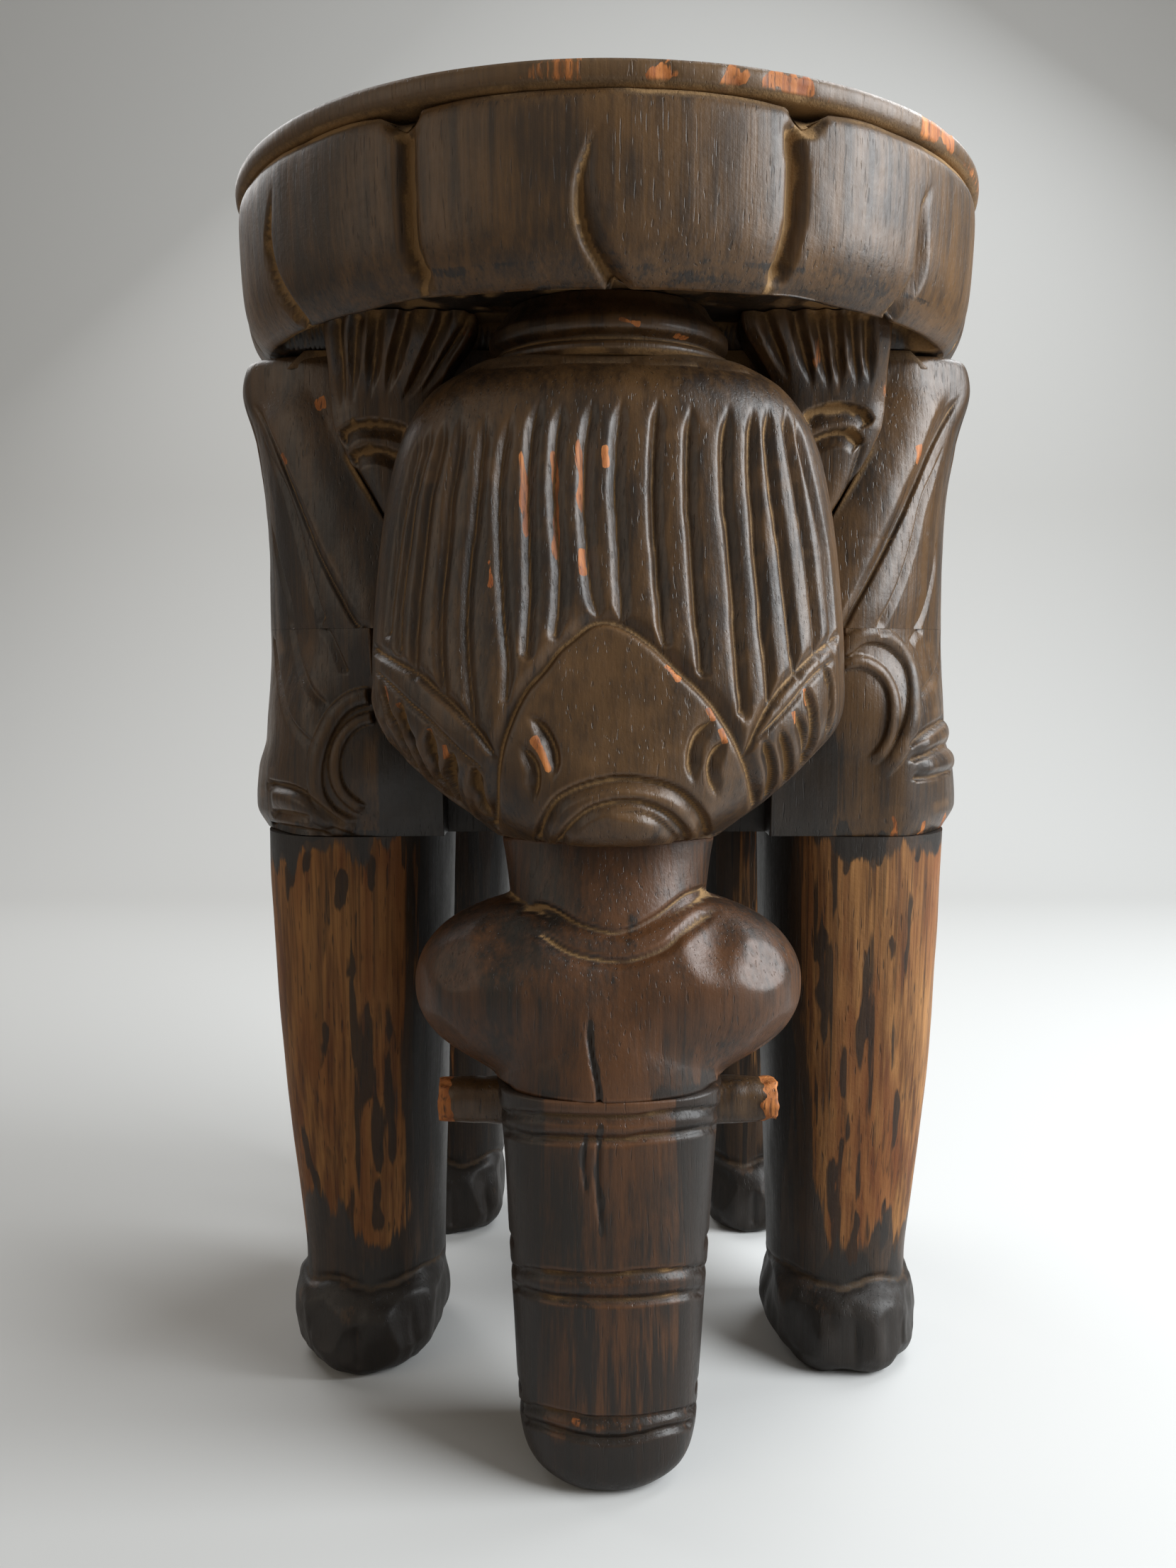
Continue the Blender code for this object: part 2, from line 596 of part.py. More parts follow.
def make_head(parts):
    rings = []
    for share in ring_heights(head_shares, HEAD_RINGS):
        width, reach, roundness = smooth_row(head_shares, share)
        height = HEAD_BOTTOM + (HEAD_TOP - HEAD_BOTTOM) * share
        half_width = HEAD_HALF_WIDTH * width
        front = HEAD_BACK_Y - HEAD_REACH * reach
        core = min(HEAD_CORE_HALF_WIDTH, half_width)
        ring = [Vector((-core, HEAD_BACK_Y, height)),
                Vector((-core, HEAD_EDGE_Y + HEAD_LIP, height))]
        for i in range(ROUND_STEPS + 1):
            angle = math.pi * (1 + i / ROUND_STEPS)
            x = half_width * signed_power(math.cos(angle), 2 / roundness)
            y = HEAD_EDGE_Y - (HEAD_EDGE_Y - front) * abs(math.sin(angle)) ** (2 / roundness)
            ring.append(Vector((x, y, height)))
        ring += [Vector((core, HEAD_EDGE_Y + HEAD_LIP, height)),
                 Vector((core, HEAD_BACK_Y, height))]
        rings.append(ring)
    return finish(loft("head", rings, parts), STAIN, 0.36)


def make_collar(parts, cutters):
    bottom = HEAD_TOP + GLUE_GAP
    top = SEAT_UNDER - GLUE_GAP
    rise = top - bottom
    centre = HEAD_BACK_Y - COLLAR_SETBACK
    profile = [(0.0, top)]
    for height_share, radius_share in reversed(collar_shares):
        profile.append((COLLAR_RADIUS * radius_share, bottom + rise * height_share))
    profile.append((0.0, bottom))
    collar = turned("collar", profile, COLLAR_STEPS, parts)
    collar.location = (0.0, centre, 0.0)
    bm = bmesh.new()
    depth = COLLAR_RADIUS + OVERRUN
    place = Matrix.Translation((0.0, HEAD_BACK_Y + depth / 2, (bottom + top) / 2))
    size = Matrix.Diagonal((2 * depth, depth, rise + 2 * OVERRUN, 1.0))
    bmesh.ops.create_cube(bm, size=1.0, matrix=place @ size)
    combine(collar, object_from(bm, "collar_back_cutter", cutters), "DIFFERENCE")
    return finish(collar, STAIN, 0.36)


def make_face(parts, cutters):
    rings = []
    for share in ring_heights(face_shares, FACE_RINGS):
        width, front = smooth_row(face_shares, share)
        height = FACE_BOTTOM + (FACE_TOP - FACE_BOTTOM) * share
        rings.append(oval(0.0, -FACE_FRONT * front, -FACE_BACK, FACE_HALF_WIDTH * width, height,
                          FACE_BLUNTNESS))
    face = loft("face", rings, parts)
    for hand, sign in (("left", -1), ("right", 1)):
        bm = bmesh.new()
        centre = (sign * CHEEK_HALF_SPACING, -CHEEK_SETBACK, FACE_BOTTOM + CHEEK_RADIUS + CHEEK_RISE)
        stretch = Matrix.Diagonal((CHEEK_WIDTH_SHARE, 1.0, 1.0, 1.0))
        bmesh.ops.create_uvsphere(bm, u_segments=CHEEK_STEPS, v_segments=2 * CHEEK_STEPS // 3,
                                  radius=CHEEK_RADIUS, matrix=Matrix.Translation(centre) @ stretch)
        combine(face, object_from(bm, f"cheek_{hand}_form", cutters), "UNION")
    return finish(face, WARM_STAIN, 0.36)


def groove_dip(height):
    """How far the trunk's surface draws in at a height, for its carved rings."""
    distance = min(abs(height - TRUNK_TOP * share) for share in trunk_groove_shares)
    return TRUNK_GROOVE_DEPTH * max(1.0 - distance / TRUNK_GROOVE_HALF_HEIGHT, 0.0)


def make_trunk(parts, cutters):
    grooves = [TRUNK_TOP * share for share in trunk_groove_shares]
    clear = TRUNK_GROOVE_CLEAR_SHARE * TRUNK_GROOVE_HALF_HEIGHT
    heights = {TRUNK_TOP * share for share in ring_heights(trunk_shares, TRUNK_RINGS)}
    heights = {h for h in heights if all(abs(h - groove) > clear for groove in grooves)}
    for groove in grooves:
        heights |= {groove - TRUNK_GROOVE_HALF_HEIGHT, groove, groove + TRUNK_GROOVE_HALF_HEIGHT}
    rings = []
    for height in sorted(heights):
        width, front, back = smooth_row(trunk_shares, height / TRUNK_TOP)
        dip = groove_dip(height)
        rings.append(oval(0.0, -TRUNK_FRONT * front + dip, -TRUNK_BACK * back,
                          TRUNK_HALF_WIDTH * width - dip / 2, height, TRUNK_BLUNTNESS))
    trunk = loft("trunk", rings, parts)
    for hand, sign in (("left", -1), ("right", 1)):
        bm = bmesh.new()
        depth = TUSK_END - TUSK_ROOT
        rod_into(bm, (sign * (TUSK_ROOT + depth / 2), -TUSK_SETBACK, TUSK_HEIGHT), SIDEWAYS,
                 TUSK_RADIUS + DOWEL_FIT, depth)
        combine(trunk, object_from(bm, f"tusk_socket_{hand}_cutter", cutters), "DIFFERENCE")
    return finish(trunk, WARM_STAIN, 0.38)


def make_tusk(hand, sign, parts):
    start = TUSK_ROOT + GLUE_GAP
    bm = bmesh.new()
    middle = (sign * (start + TUSK_END) / 2, -TUSK_SETBACK, TUSK_HEIGHT)
    rod_into(bm, middle, SIDEWAYS, TUSK_RADIUS, TUSK_END - start)
    tusk = object_from(bm, f"tusk_{hand}", parts)
    bevel = tusk.modifiers.new("worn_edge", "BEVEL")
    bevel.width = TUSK_RADIUS / 12
    bevel.segments = 1
    bevel.limit_method = "ANGLE"
    return finish(tusk, STAIN, 0.5)


def tassel_outline():
    """The tassel's outline on the right side, as points across and up."""
    inner = HEAD_CORE_HALF_WIDTH + HEAD_CLEARANCE
    top = SEAT_UNDER - GLUE_GAP
    points = [(inner, top)]
    for across, down in tassel_shares:
        points.append((inner + (TASSEL_OUTER - inner) * across, top - TASSEL_DROP * down))
    return points


def tassel_edge(height):
    """How far out the tassel reaches at a height, or zero below its tip."""
    reach = 0.0
    outline = tassel_outline()[1:]
    for (x0, z0), (x1, z1) in zip(outline, outline[1:]):
        if z1 <= height < z0:
            reach = max(reach, x0 + (x1 - x0) * (z0 - height) / (z0 - z1))
    return reach


def make_tassel(parts):
    curve = bpy.data.curves.new("tassel", "CURVE")
    curve.dimensions = "2D"
    curve.fill_mode = "BOTH"
    curve.extrude = TASSEL_THICKNESS / 2
    spline = curve.splines.new("POLY")
    outline = tassel_outline()
    spline.points.add(len(outline) - 1)
    for target, (x, z) in zip(spline.points, outline):
        target.co = (x, z, 0.0, 1.0)
    spline.use_cyclic_u = True
    holder = bpy.data.objects.new("tassel", curve)
    bpy.context.scene.collection.objects.link(holder)
    graph = bpy.context.evaluated_depsgraph_get()
    mesh = bpy.data.meshes.new_from_object(holder.evaluated_get(graph))
    bpy.data.objects.remove(holder, do_unlink=True)
    bm = bmesh.new()
    bm.from_mesh(mesh)
    bmesh.ops.remove_doubles(bm, verts=bm.verts, dist=WELD_DISTANCE)
    stand = Matrix.Translation((0.0, HEAD_BACK_Y - TASSEL_THICKNESS / 2, 0.0))
    bmesh.ops.transform(bm, matrix=stand @ Matrix.Rotation(math.pi / 2, 4, "X"), verts=bm.verts)
    bmesh.ops.dissolve_limit(bm, angle_limit=math.radians(TASSEL_FLAT_DEGREES), verts=bm.verts,
                             edges=bm.edges)
    front_edges = [edge for edge in bm.edges
                   if all(v.co.y < HEAD_BACK_Y - TASSEL_THICKNESS / 2 for v in edge.verts)
                   and not all(v.co.z > SEAT_UNDER - TASSEL_BEVEL for v in edge.verts)]
    bmesh.ops.bevel(bm, geom=front_edges, offset=TASSEL_BEVEL, segments=TASSEL_BEVEL_STEPS,
                    affect="EDGES", profile=0.5)
    bmesh.ops.recalc_face_normals(bm, faces=bm.faces)
    return object_from(bm, "tassel_right", parts)


def corner_ring(height, inner, inner_front, rim, side, back):
    """A ring of a block that wraps the body's front right corner."""
    rim_x, rim_y = rim
    run = -CORNER_FULL_SETBACK - rim_y
    ring = [Vector((inner, inner_front, height))]
    for t in corner_front_shares:
        ring.append(Vector((inner + (rim_x - inner) * t,
                            inner_front + (rim_y - inner_front) * t, height)))
    for i in range(CORNER_STEPS + 1):
        t = i / CORNER_STEPS
        y = rim_y + (back - rim_y) * t
        turn = math.pi / 2 * min((y - rim_y) / run, 1.0)
        x = rim_x + (side - rim_x) * math.sin(turn) ** CORNER_BLUNTNESS
        ring.append(Vector((x, y, height)))
    ring += [Vector((EAR_SIDE_X, back, height)), Vector((EAR_SIDE_X, HEAD_BACK_Y, height)),
             Vector((inner, HEAD_BACK_Y, height))]
    return ring


def make_ear(parts):
    rings = []
    for share in ring_heights(ear_shares, EAR_RINGS):
        rim_x, rim_y, side, _, inner_front = smooth_row(ear_shares, share)
        height = EAR_BOTTOM + (EAR_TOP - EAR_BOTTOM) * share
        inner = max(EAR_INNER, tassel_edge(height) + TASSEL_CLEARANCE)
        rim = (max(EAR_REACH * rim_x, inner + GLUE_GAP), -EAR_FRONT * rim_y)
        rings.append(corner_ring(height, inner, -EAR_FRONT * inner_front, rim,
                                 EAR_REACH * side, back_edge(share)))
    return loft("ear_right", rings, parts)


def make_shoulder(parts):
    bottom = BELLY_HEIGHT + GLUE_GAP
    top = EAR_BOTTOM - GLUE_GAP
    inner = HEAD_CORE_HALF_WIDTH + HEAD_CLEARANCE
    rings = []
    for share in ring_heights(shoulder_shares, SHOULDER_RINGS):
        side, front = smooth_row(shoulder_shares, share)
        height = bottom + (top - bottom) * share
        rim_x = inner + (EAR_SIDE_X - inner) * shoulder_rim_share
        rings.append(corner_ring(height, inner, -SHOULDER_FRONT * front,
                                 (rim_x, -SHOULDER_FRONT * front), SHOULDER_REACH * side,
                                 back_edge(0.0)))
    return loft("shoulder_right", rings, parts)


def make_scroll(hand, sign, height, cutters):
    """The round cord of a shoulder's scroll, open towards the head."""
    path = []
    for i in range(SCROLL_STEPS + 1):
        angle = math.radians(SCROLL_START_DEGREES - SCROLL_SWEEP_DEGREES * i / SCROLL_STEPS)
        z = height + SCROLL_RADIUS * math.sin(angle)
        front = smooth_row(shoulder_shares, (z - BELLY_HEIGHT) / SHOULDER_HEIGHT)[1]
        path.append(Vector((sign * (SCROLL_CENTRE_SIDE + SCROLL_RADIUS * math.cos(angle)),
                            SCROLL_CORD_RADIUS * SCROLL_SINK_SHARE - SHOULDER_FRONT * front, z)))
    mesh = tube_mesh(path, [1.0] * len(path), SCROLL_CORD_RADIUS)
    form = bpy.data.objects.new(f"scroll_{hand}_form", mesh)
    cutters.objects.link(form)
    return form


def make_leg(name, side, setback, half_width, half_depth, parts, cutters):
    """A right-hand leg with its foot; setback is the y of its middle."""
    rings = []
    for share in ring_heights(leg_shares, LEG_RINGS):
        width, depth, ahead, aside = smooth_row(leg_shares, share)
        middle = setback - half_depth * ahead
        rings.append(oval(side + half_width * aside, middle - half_depth * depth,
                          middle + half_depth * depth, half_width * width, LEG_TOP * share,
                          LEG_BLUNTNESS))
    leg = loft(name, rings, parts)
    bm = bmesh.new()
    front = setback - half_depth * (leg_shares[2][2] + leg_shares[2][3])
    for turn in (-1, 1):
        x = side + half_width * leg_shares[2][4] + turn * half_width * TOE_SPREAD_SHARE
        rod_into(bm, (x, front + TOE_GROOVE_RADIUS / 2, TOE_GROOVE_HEIGHT / 2 - OVERRUN / 2), UP,
                 TOE_GROOVE_RADIUS, TOE_GROOVE_HEIGHT + OVERRUN, TOE_GROOVE_STEPS)
    return leg, object_from(bm, name + "_toe_cutter", cutters)


def make_tail(parts):
    seat = BODY_BACK + GLUE_GAP
    rings = []
    for share in ring_heights(tail_shares, TAIL_RINGS):
        width, thick = smooth_row(tail_shares, share)
        height = TAIL_BOTTOM + (TAIL_TOP - TAIL_BOTTOM) * share
        depth = TAIL_THICKNESS * thick
        ring = oval(0.0, seat - depth, seat + depth, TAIL_HALF_WIDTH * width, height, steps=12)
        for point in ring:
            point.y = max(point.y, seat)
        rings.append(ring)
    return finish(loft("tail", rings, parts), STAIN, 0.5)


def make_dowels(pieces, parts, cutters):
    holes = {}
    for dowel in dowel_list():
        bm = bmesh.new()
        rod_into(bm, dowel["centre"], dowel["axis"], dowel["radius"], dowel["length"])
        finish(object_from(bm, dowel["name"], parts), BARE_WOOD, 0.7)
        for piece in dowel["pieces"]:
            holes.setdefault(piece, bmesh.new())
            rod_into(holes[piece], dowel["centre"], dowel["axis"],
                     dowel["radius"] + DOWEL_FIT, dowel["length"] + 2 * DOWEL_FIT)
    for name, bm in holes.items():
        cutter = object_from(bm, name + "_dowel_cutter", cutters)
        combine(pieces[name], cutter, "DIFFERENCE")


def main():
    clear_scene()
    parts = new_collection("elephant_stool")
    cutters = new_collection("cutters")
    pieces = {}

    def keep(piece):
        pieces[piece.name] = piece
        return piece

    keep(make_seat_board(parts))
    keep(make_seat_drum(parts, cutters))
    keep(make_body(parts, cutters))
    keep(make_head(parts))
    keep(make_collar(parts, cutters))
    keep(make_face(parts, cutters))
    keep(make_trunk(parts, cutters))
    for hand, sign in (("left", -1), ("right", 1)):
        keep(make_tusk(hand, sign, parts))

    for piece, name in ((make_tassel(parts), "tassel_left"), (make_ear(parts), "ear_left"),
                        (make_shoulder(parts), "shoulder_left")):
        twin = mirrored(piece, name, parts)
        keep(finish(twin, STAIN, 0.42))
        keep(finish(piece, STAIN, 0.42))
    scroll_reach = SCROLL_EDGE + SCROLL_RADIUS + SCROLL_CORD_RADIUS
    for hand, sign, height in (("left", -1, BELLY_HEIGHT + GLUE_GAP + scroll_reach),
                               ("right", 1, EAR_BOTTOM - GLUE_GAP - scroll_reach)):
        combine(pieces[f"shoulder_{hand}"], make_scroll(hand, sign, height, cutters), "UNION")

    for row, side, setback, half_width, half_depth in (
            ("front", FRONT_LEG_SIDE, -FRONT_LEG_SETBACK, FRONT_LEG_HALF_WIDTH,
             FRONT_LEG_HALF_DEPTH),
            ("rear", REAR_LEG_SIDE, REAR_LEG_SETBACK, REAR_LEG_HALF_WIDTH, REAR_LEG_HALF_DEPTH)):
        leg, toes = make_leg(f"leg_{row}_right", side, setback, half_width, half_depth,
                             parts, cutters)
        twin = mirrored(leg, f"leg_{row}_left", parts)
        twin_toes = mirrored(toes, f"leg_{row}_left_toe_cutter", cutters)
        combine(leg, toes, "DIFFERENCE")
        combine(twin, twin_toes, "DIFFERENCE")
        for piece in (leg, twin):
            keep(finish(piece, WORN_WOOD, 0.5))
    keep(make_tail(parts))
    make_dowels(pieces, parts, cutters)


main()
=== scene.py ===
# %% [markdown]
# # A carved elephant stool
# The stool is a block of wood that a carver has turned into a standing elephant: a round
# seat cut with petals, a head under a pleated cloth, big ears, and a trunk that reaches the
# floor. The solids behind it come from a frame, which is loaded first and never changed.
# Everything here is in metres, with the elephant looking along -Y.

# %% Load the frame
import itertools
import math

import bpy
import numpy as np
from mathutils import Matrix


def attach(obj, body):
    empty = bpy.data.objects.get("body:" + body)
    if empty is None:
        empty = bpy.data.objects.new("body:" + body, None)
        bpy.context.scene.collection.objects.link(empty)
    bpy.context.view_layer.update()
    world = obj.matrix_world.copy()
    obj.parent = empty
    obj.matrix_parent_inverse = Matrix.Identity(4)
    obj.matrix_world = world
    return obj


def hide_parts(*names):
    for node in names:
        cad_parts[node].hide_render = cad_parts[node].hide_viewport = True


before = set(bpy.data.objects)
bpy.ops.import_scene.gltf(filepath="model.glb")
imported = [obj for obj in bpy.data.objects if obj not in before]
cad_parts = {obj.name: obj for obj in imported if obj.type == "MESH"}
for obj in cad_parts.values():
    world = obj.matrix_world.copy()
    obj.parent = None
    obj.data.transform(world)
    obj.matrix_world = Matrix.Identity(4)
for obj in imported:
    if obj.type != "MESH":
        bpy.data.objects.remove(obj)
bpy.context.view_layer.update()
print("the frame holds", len(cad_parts), "blocks")

# %% [markdown]
# ## The camera
# The photograph was taken from close by, a little above the head and tilted down by about
# six degrees. Its place was worked out from the round seat, the feet and the picture's
# middle. The same numbers also let a carved line be drawn in the picture's own pixels and
# laid onto the wood, so they are kept here by name.

# %% Camera
MM = 0.001
PHOTO_WIDTH = 1659
PHOTO_HEIGHT = 2212
PHOTO_FOCUS = 1850.0
SENSOR = 36.0
CAMERA_PLACE = np.array((-7.056, -545.76, 276.48)) * MM
CAMERA_PITCH = math.radians(5.82)

camera_data = bpy.data.cameras.new("photo_camera")
camera_data.sensor_width = SENSOR
camera_data.lens = SENSOR * PHOTO_FOCUS / PHOTO_HEIGHT
camera_data.clip_start = 10 * MM
camera = bpy.data.objects.new("photo_camera", camera_data)
camera.location = CAMERA_PLACE
camera.rotation_euler = (math.pi / 2 - CAMERA_PITCH, 0.0, 0.0)
bpy.context.scene.collection.objects.link(camera)
bpy.context.scene.camera = camera


def photo_pixels(points):
    """Where points in space fall in the photograph, as pixels across and down."""
    across, away, up = (points - CAMERA_PLACE).T
    depth = away * math.cos(CAMERA_PITCH) - up * math.sin(CAMERA_PITCH)
    rise = away * math.sin(CAMERA_PITCH) + up * math.cos(CAMERA_PITCH)
    return np.stack((PHOTO_WIDTH / 2 + PHOTO_FOCUS * across / depth,
                     PHOTO_HEIGHT / 2 - PHOTO_FOCUS * rise / depth), axis=1)


print("lens", round(camera_data.lens, 1), "mm")

# %% [markdown]
# ## Floor and light
# A plain pale sheet runs under the stool and bends up behind it. The camera sees it as one
# pale tone, while lamps still throw the stool's shadow on it. The light is that of a room:
# a large cool window on the right, a softer one on the left, and light from above.

# %% Node tree sums
class Socket:
    """A node's output that takes part in Python sums."""

    def __init__(self, link):
        self.link = link

    @property
    def is_number(self):
        """Whether the output is a number and not a colour or a vector."""
        return self.link.type == "VALUE"

    def make(self, kind, settings=None, sockets=None, output=0):
        """Add a node: its settings first, then what its sockets hold."""
        return make_node(self.link.id_data, kind, settings, sockets, output)

    def sum(self, operation, first, second):
        """A maths node over two sides, a vector one as soon as a side is a vector."""
        numbers = all(getattr(side, "is_number", True) and not isinstance(side, tuple)
                      for side in (first, second))
        kind = "ShaderNodeMath" if numbers else "ShaderNodeVectorMath"
        sides = [(side,) * 3 if not numbers and isinstance(side, (int, float)) else side
                 for side in (first, second)]
        return self.make(kind, {"operation": operation}, {0: sides[0], 1: sides[1]})

    def __add__(self, other):
        return self.sum("ADD", self, other)

    def __radd__(self, other):
        return self.sum("ADD", other, self)

    def __sub__(self, other):
        return self.sum("SUBTRACT", self, other)

    def __rsub__(self, other):
        return self.sum("SUBTRACT", other, self)

    def __mul__(self, other):
        return self.sum("MULTIPLY", self, other)

    def __rmul__(self, other):
        return self.sum("MULTIPLY", other, self)

    def between(self, low, high):
        """Zero below low, one above high, and a smooth step from one to the other."""
        settings = {"interpolation_type": "SMOOTHSTEP"}
        return self.make("ShaderNodeMapRange", settings, {"Value": self, 1: low, 2: high})

    def mix(self, colour, amount):
        """This colour with another over it, by an amount from zero to one."""
        return self.make("ShaderNodeMix", {"data_type": "RGBA"},
                         {0: amount, 6: self, 7: colour}, output=2)


def plug(socket, value):
    """Link a socket to a node's output, or write a plain value into it."""
    if isinstance(value, Socket):
        socket.id_data.links.new(value.link, socket)
    elif isinstance(value, tuple) and len(value) == 3 and socket.type == "RGBA":
        socket.default_value = (*value, 1.0)
    else:
        socket.default_value = value


def make_node(tree, kind, settings=None, sockets=None, output=0):
    """A new node of a tree, with its settings, its sockets and the output that is used."""
    node = tree.nodes.new(kind)
    for name, value in (settings or {}).items():
        setattr(node, name, value)
    for name, value in (sockets or {}).items():
        plug(node.inputs[name], value)
    return Socket(node.outputs[output])


def plain(tree, colour):
    """A plain colour as the first layer of a mix."""
    node = make_node(tree, "ShaderNodeRGB")
    node.link.default_value = (*colour, 1.0)
    return node


def new_material(name):
    """A new material with its node tree and its shader."""
    material = bpy.data.materials.new(name)
    material.use_nodes = True
    return material, material.node_tree, material.node_tree.nodes["Principled BSDF"]

# %% Floor and lamps
FLOOR_TONE = (0.60, 0.60, 0.59)
BOUNCE_TONE = (0.25, 0.21, 0.165)
FLOOR_HALF = 6.0
FLOOR_BACK = 0.9
BEND_RADIUS = 0.5
BEND_STEPS = 24


def seen_directly(tree):
    """One for rays from the camera, also by way of a mirror or glass, zero for the others."""
    rays = [make_node(tree, "ShaderNodeLightPath", output=f"Is {kind} Ray")
            for kind in ("Camera", "Glossy", "Transmission")]
    return (rays[0] + rays[1] + rays[2]).between(0.0, 1.0)


def make_floor():
    """A pale sheet that bends up behind the stool."""
    profile = [(-FLOOR_HALF, 0.0), (FLOOR_BACK, 0.0)]
    for step in range(1, BEND_STEPS + 1):
        turn = math.pi / 2 * step / BEND_STEPS
        profile.append((FLOOR_BACK + BEND_RADIUS * math.sin(turn),
                        BEND_RADIUS * (1 - math.cos(turn))))
    profile.append((FLOOR_BACK + BEND_RADIUS, FLOOR_HALF))
    points = [(side, y, z) for y, z in profile for side in (-FLOOR_HALF, FLOOR_HALF)]
    faces = [(2 * i, 2 * i + 1, 2 * i + 3, 2 * i + 2) for i in range(len(profile) - 1)]
    mesh = bpy.data.meshes.new("floor")
    mesh.from_pydata(points, [], faces)
    mesh.shade_smooth()
    floor = bpy.data.objects.new("floor", mesh)
    bpy.context.scene.collection.objects.link(floor)
    material, tree, shader = new_material("pale_sheet")
    shader.inputs["Roughness"].default_value = 0.9
    shader.inputs["Specular IOR Level"].default_value = 0.1
    tone = plain(tree, BOUNCE_TONE).mix(FLOOR_TONE, seen_directly(tree))
    plug(shader.inputs["Base Color"], tone)
    mesh.materials.append(material)


make_floor()

LAMPS = (
    ("window_right", (1.10, -0.42, 0.80), 0.9, 32.5, (0.93, 0.97, 1.0)),
    ("room_left", (-1.3, -0.9, 0.8), 1.2, 4.0, (1.0, 0.90, 0.76)),
    ("high_window", (0.75, 0.60, 1.45), 0.9, 17.0, (0.93, 0.97, 1.0)),
    ("back_light", (-0.8, 0.75, 1.2), 0.8, 7.0, (1.0, 1.0, 1.0)),
)
LOOK_AT = np.array((0.0, 0.0, 0.24))
for name, place, size, power, tint in LAMPS:
    light = bpy.data.lights.new(name, "AREA")
    light.size = size
    light.energy = power
    light.color = tint
    lamp = bpy.data.objects.new(name, light)
    lamp.location = place
    aim = LOOK_AT - np.array(place)
    lamp.rotation_euler = (math.pi - math.acos(aim[2] / np.linalg.norm(aim)), 0.0,
                           math.atan2(aim[1], aim[0]) - math.pi / 2)
    bpy.context.scene.collection.objects.link(lamp)

ROOM_TONE = (0.95, 0.87, 0.76, 1.0)
ROOM_LIGHT = 0.12
ROOM_SEEN = 0.42
world = bpy.data.worlds.new("room")
world.use_nodes = True
background = world.node_tree.nodes["Background"]
background.inputs["Color"].default_value = ROOM_TONE
shown = seen_directly(world.node_tree) * (ROOM_SEEN - ROOM_LIGHT)
plug(background.inputs["Strength"], shown + ROOM_LIGHT)
bpy.context.scene.world = world
bpy.context.scene.view_settings.view_transform = "Standard"
print("lamps:", ", ".join(row[0] for row in LAMPS))

# %% [markdown]
# ## Blocking out a form
# A carver starts with a block and rounds it before any detail is cut. Here that first form
# is a stack of rings: each ring is a cross-section, and a smooth curve through a few named
# rows gives the sections between them. The same rows shape the solids of the frame, so the
# finished wood lies where the frame says. The rings are made dense, about a millimetre
# apart, because the cuts that follow move every point.

# %% Rings
STOOL_HEIGHT = 450.0
SEAT_RADIUS = 144.0
GAP = 0.3
BELLY = 208.0
BODY_FRONT = 52.0
HEAD_BACK = BODY_FRONT + GAP
OVAL_COUNT = 1440
CURVE_STEPS = 12


def smooth_row(rows, share):
    """Values at a share of the height, on a smooth curve through the rows."""
    last = len(rows) - 1
    step = next((i for i in range(last) if share <= rows[i + 1][0]), last - 1)
    low, high = rows[step], rows[step + 1]
    before, after = rows[max(step - 1, 0)], rows[min(step + 2, last)]
    span = high[0] - low[0]
    t = min(max((share - low[0]) / span, 0.0), 1.0)
    values = []
    for k in range(1, len(low)):
        rise = (high[k] - low[k]) / span
        start = (high[k] - before[k]) / (high[0] - before[0])
        end = (after[k] - low[k]) / (after[0] - low[0])
        if (high[k] - low[k]) * (low[k] - before[k]) <= 0 and step > 0:
            start = 0.0
        if (after[k] - high[k]) * (high[k] - low[k]) <= 0 and step < last - 1:
            end = 0.0
        start = rise if step == 0 else start
        end = rise if step == last - 1 else end
        cubic = (2 * t**3 - 3 * t**2 + 1) * low[k] + (3 * t**2 - 2 * t**3) * high[k]
        values.append(cubic + span * ((t**3 - 2 * t**2 + t) * start + (t**3 - t**2) * end))
    return values


def evenly(line, count):
    """A line of points walked again in even steps, as count points."""
    line = np.asarray(line, float)
    lengths = np.concatenate(([0.0], np.cumsum(np.linalg.norm(np.diff(line, axis=0), axis=1))))
    places = np.linspace(0.0, lengths[-1], count)
    return np.stack([np.interp(places, lengths, line[:, k]) for k in range(line.shape[1])], 1)


def eased(line, rounds):
    """A line whose inner points are drawn towards their neighbours, a few times over."""
    line = line.copy()
    for _ in range(rounds):
        line[1:-1] = (line[:-2] + 2 * line[1:-1] + line[2:]) / 4
    return line


def flow(points, spacing):
    """A smooth curve through a few points, in even steps of about a spacing."""
    points = np.asarray(points, float)
    if len(points) > 2:
        padded = np.vstack((2 * points[0] - points[1], points, 2 * points[-1] - points[-2]))
        t = np.linspace(0.0, 1.0, CURVE_STEPS, endpoint=False)[:, None]
        spans = []
        for a, b, c, d in zip(padded, padded[1:], padded[2:], padded[3:]):
            spans.append(0.5 * (2 * b + (c - a) * t + (2 * a - 5 * b + 4 * c - d) * t**2
                                + (3 * b - a - 3 * c + d) * t**3))
        points = np.vstack(spans + [points[-1:]])
    length = np.linalg.norm(np.diff(points, axis=0), axis=1).sum()
    return evenly(points, max(int(length / spacing) + 1, 3))


def oval(front, back, half_width, roundness=2.0, side=0.0, count=OVAL_COUNT):
    """A blunt oval between a front and a back, anticlockwise seen from above."""
    turn = np.arange(count) * math.tau / count
    power = 2.0 / roundness
    cosine, sine = np.cos(turn), np.sin(turn)
    x = side + half_width * np.sign(cosine) * np.abs(cosine) ** power
    y = (front + back) / 2 + (back - front) / 2 * np.sign(sine) * np.abs(sine) ** power
    return np.stack((x, y), 1)


def closed_evenly(outline, count):
    """A closed outline walked again in even steps."""
    return evenly(np.vstack((outline, outline[:1])), count + 1)[:-1]


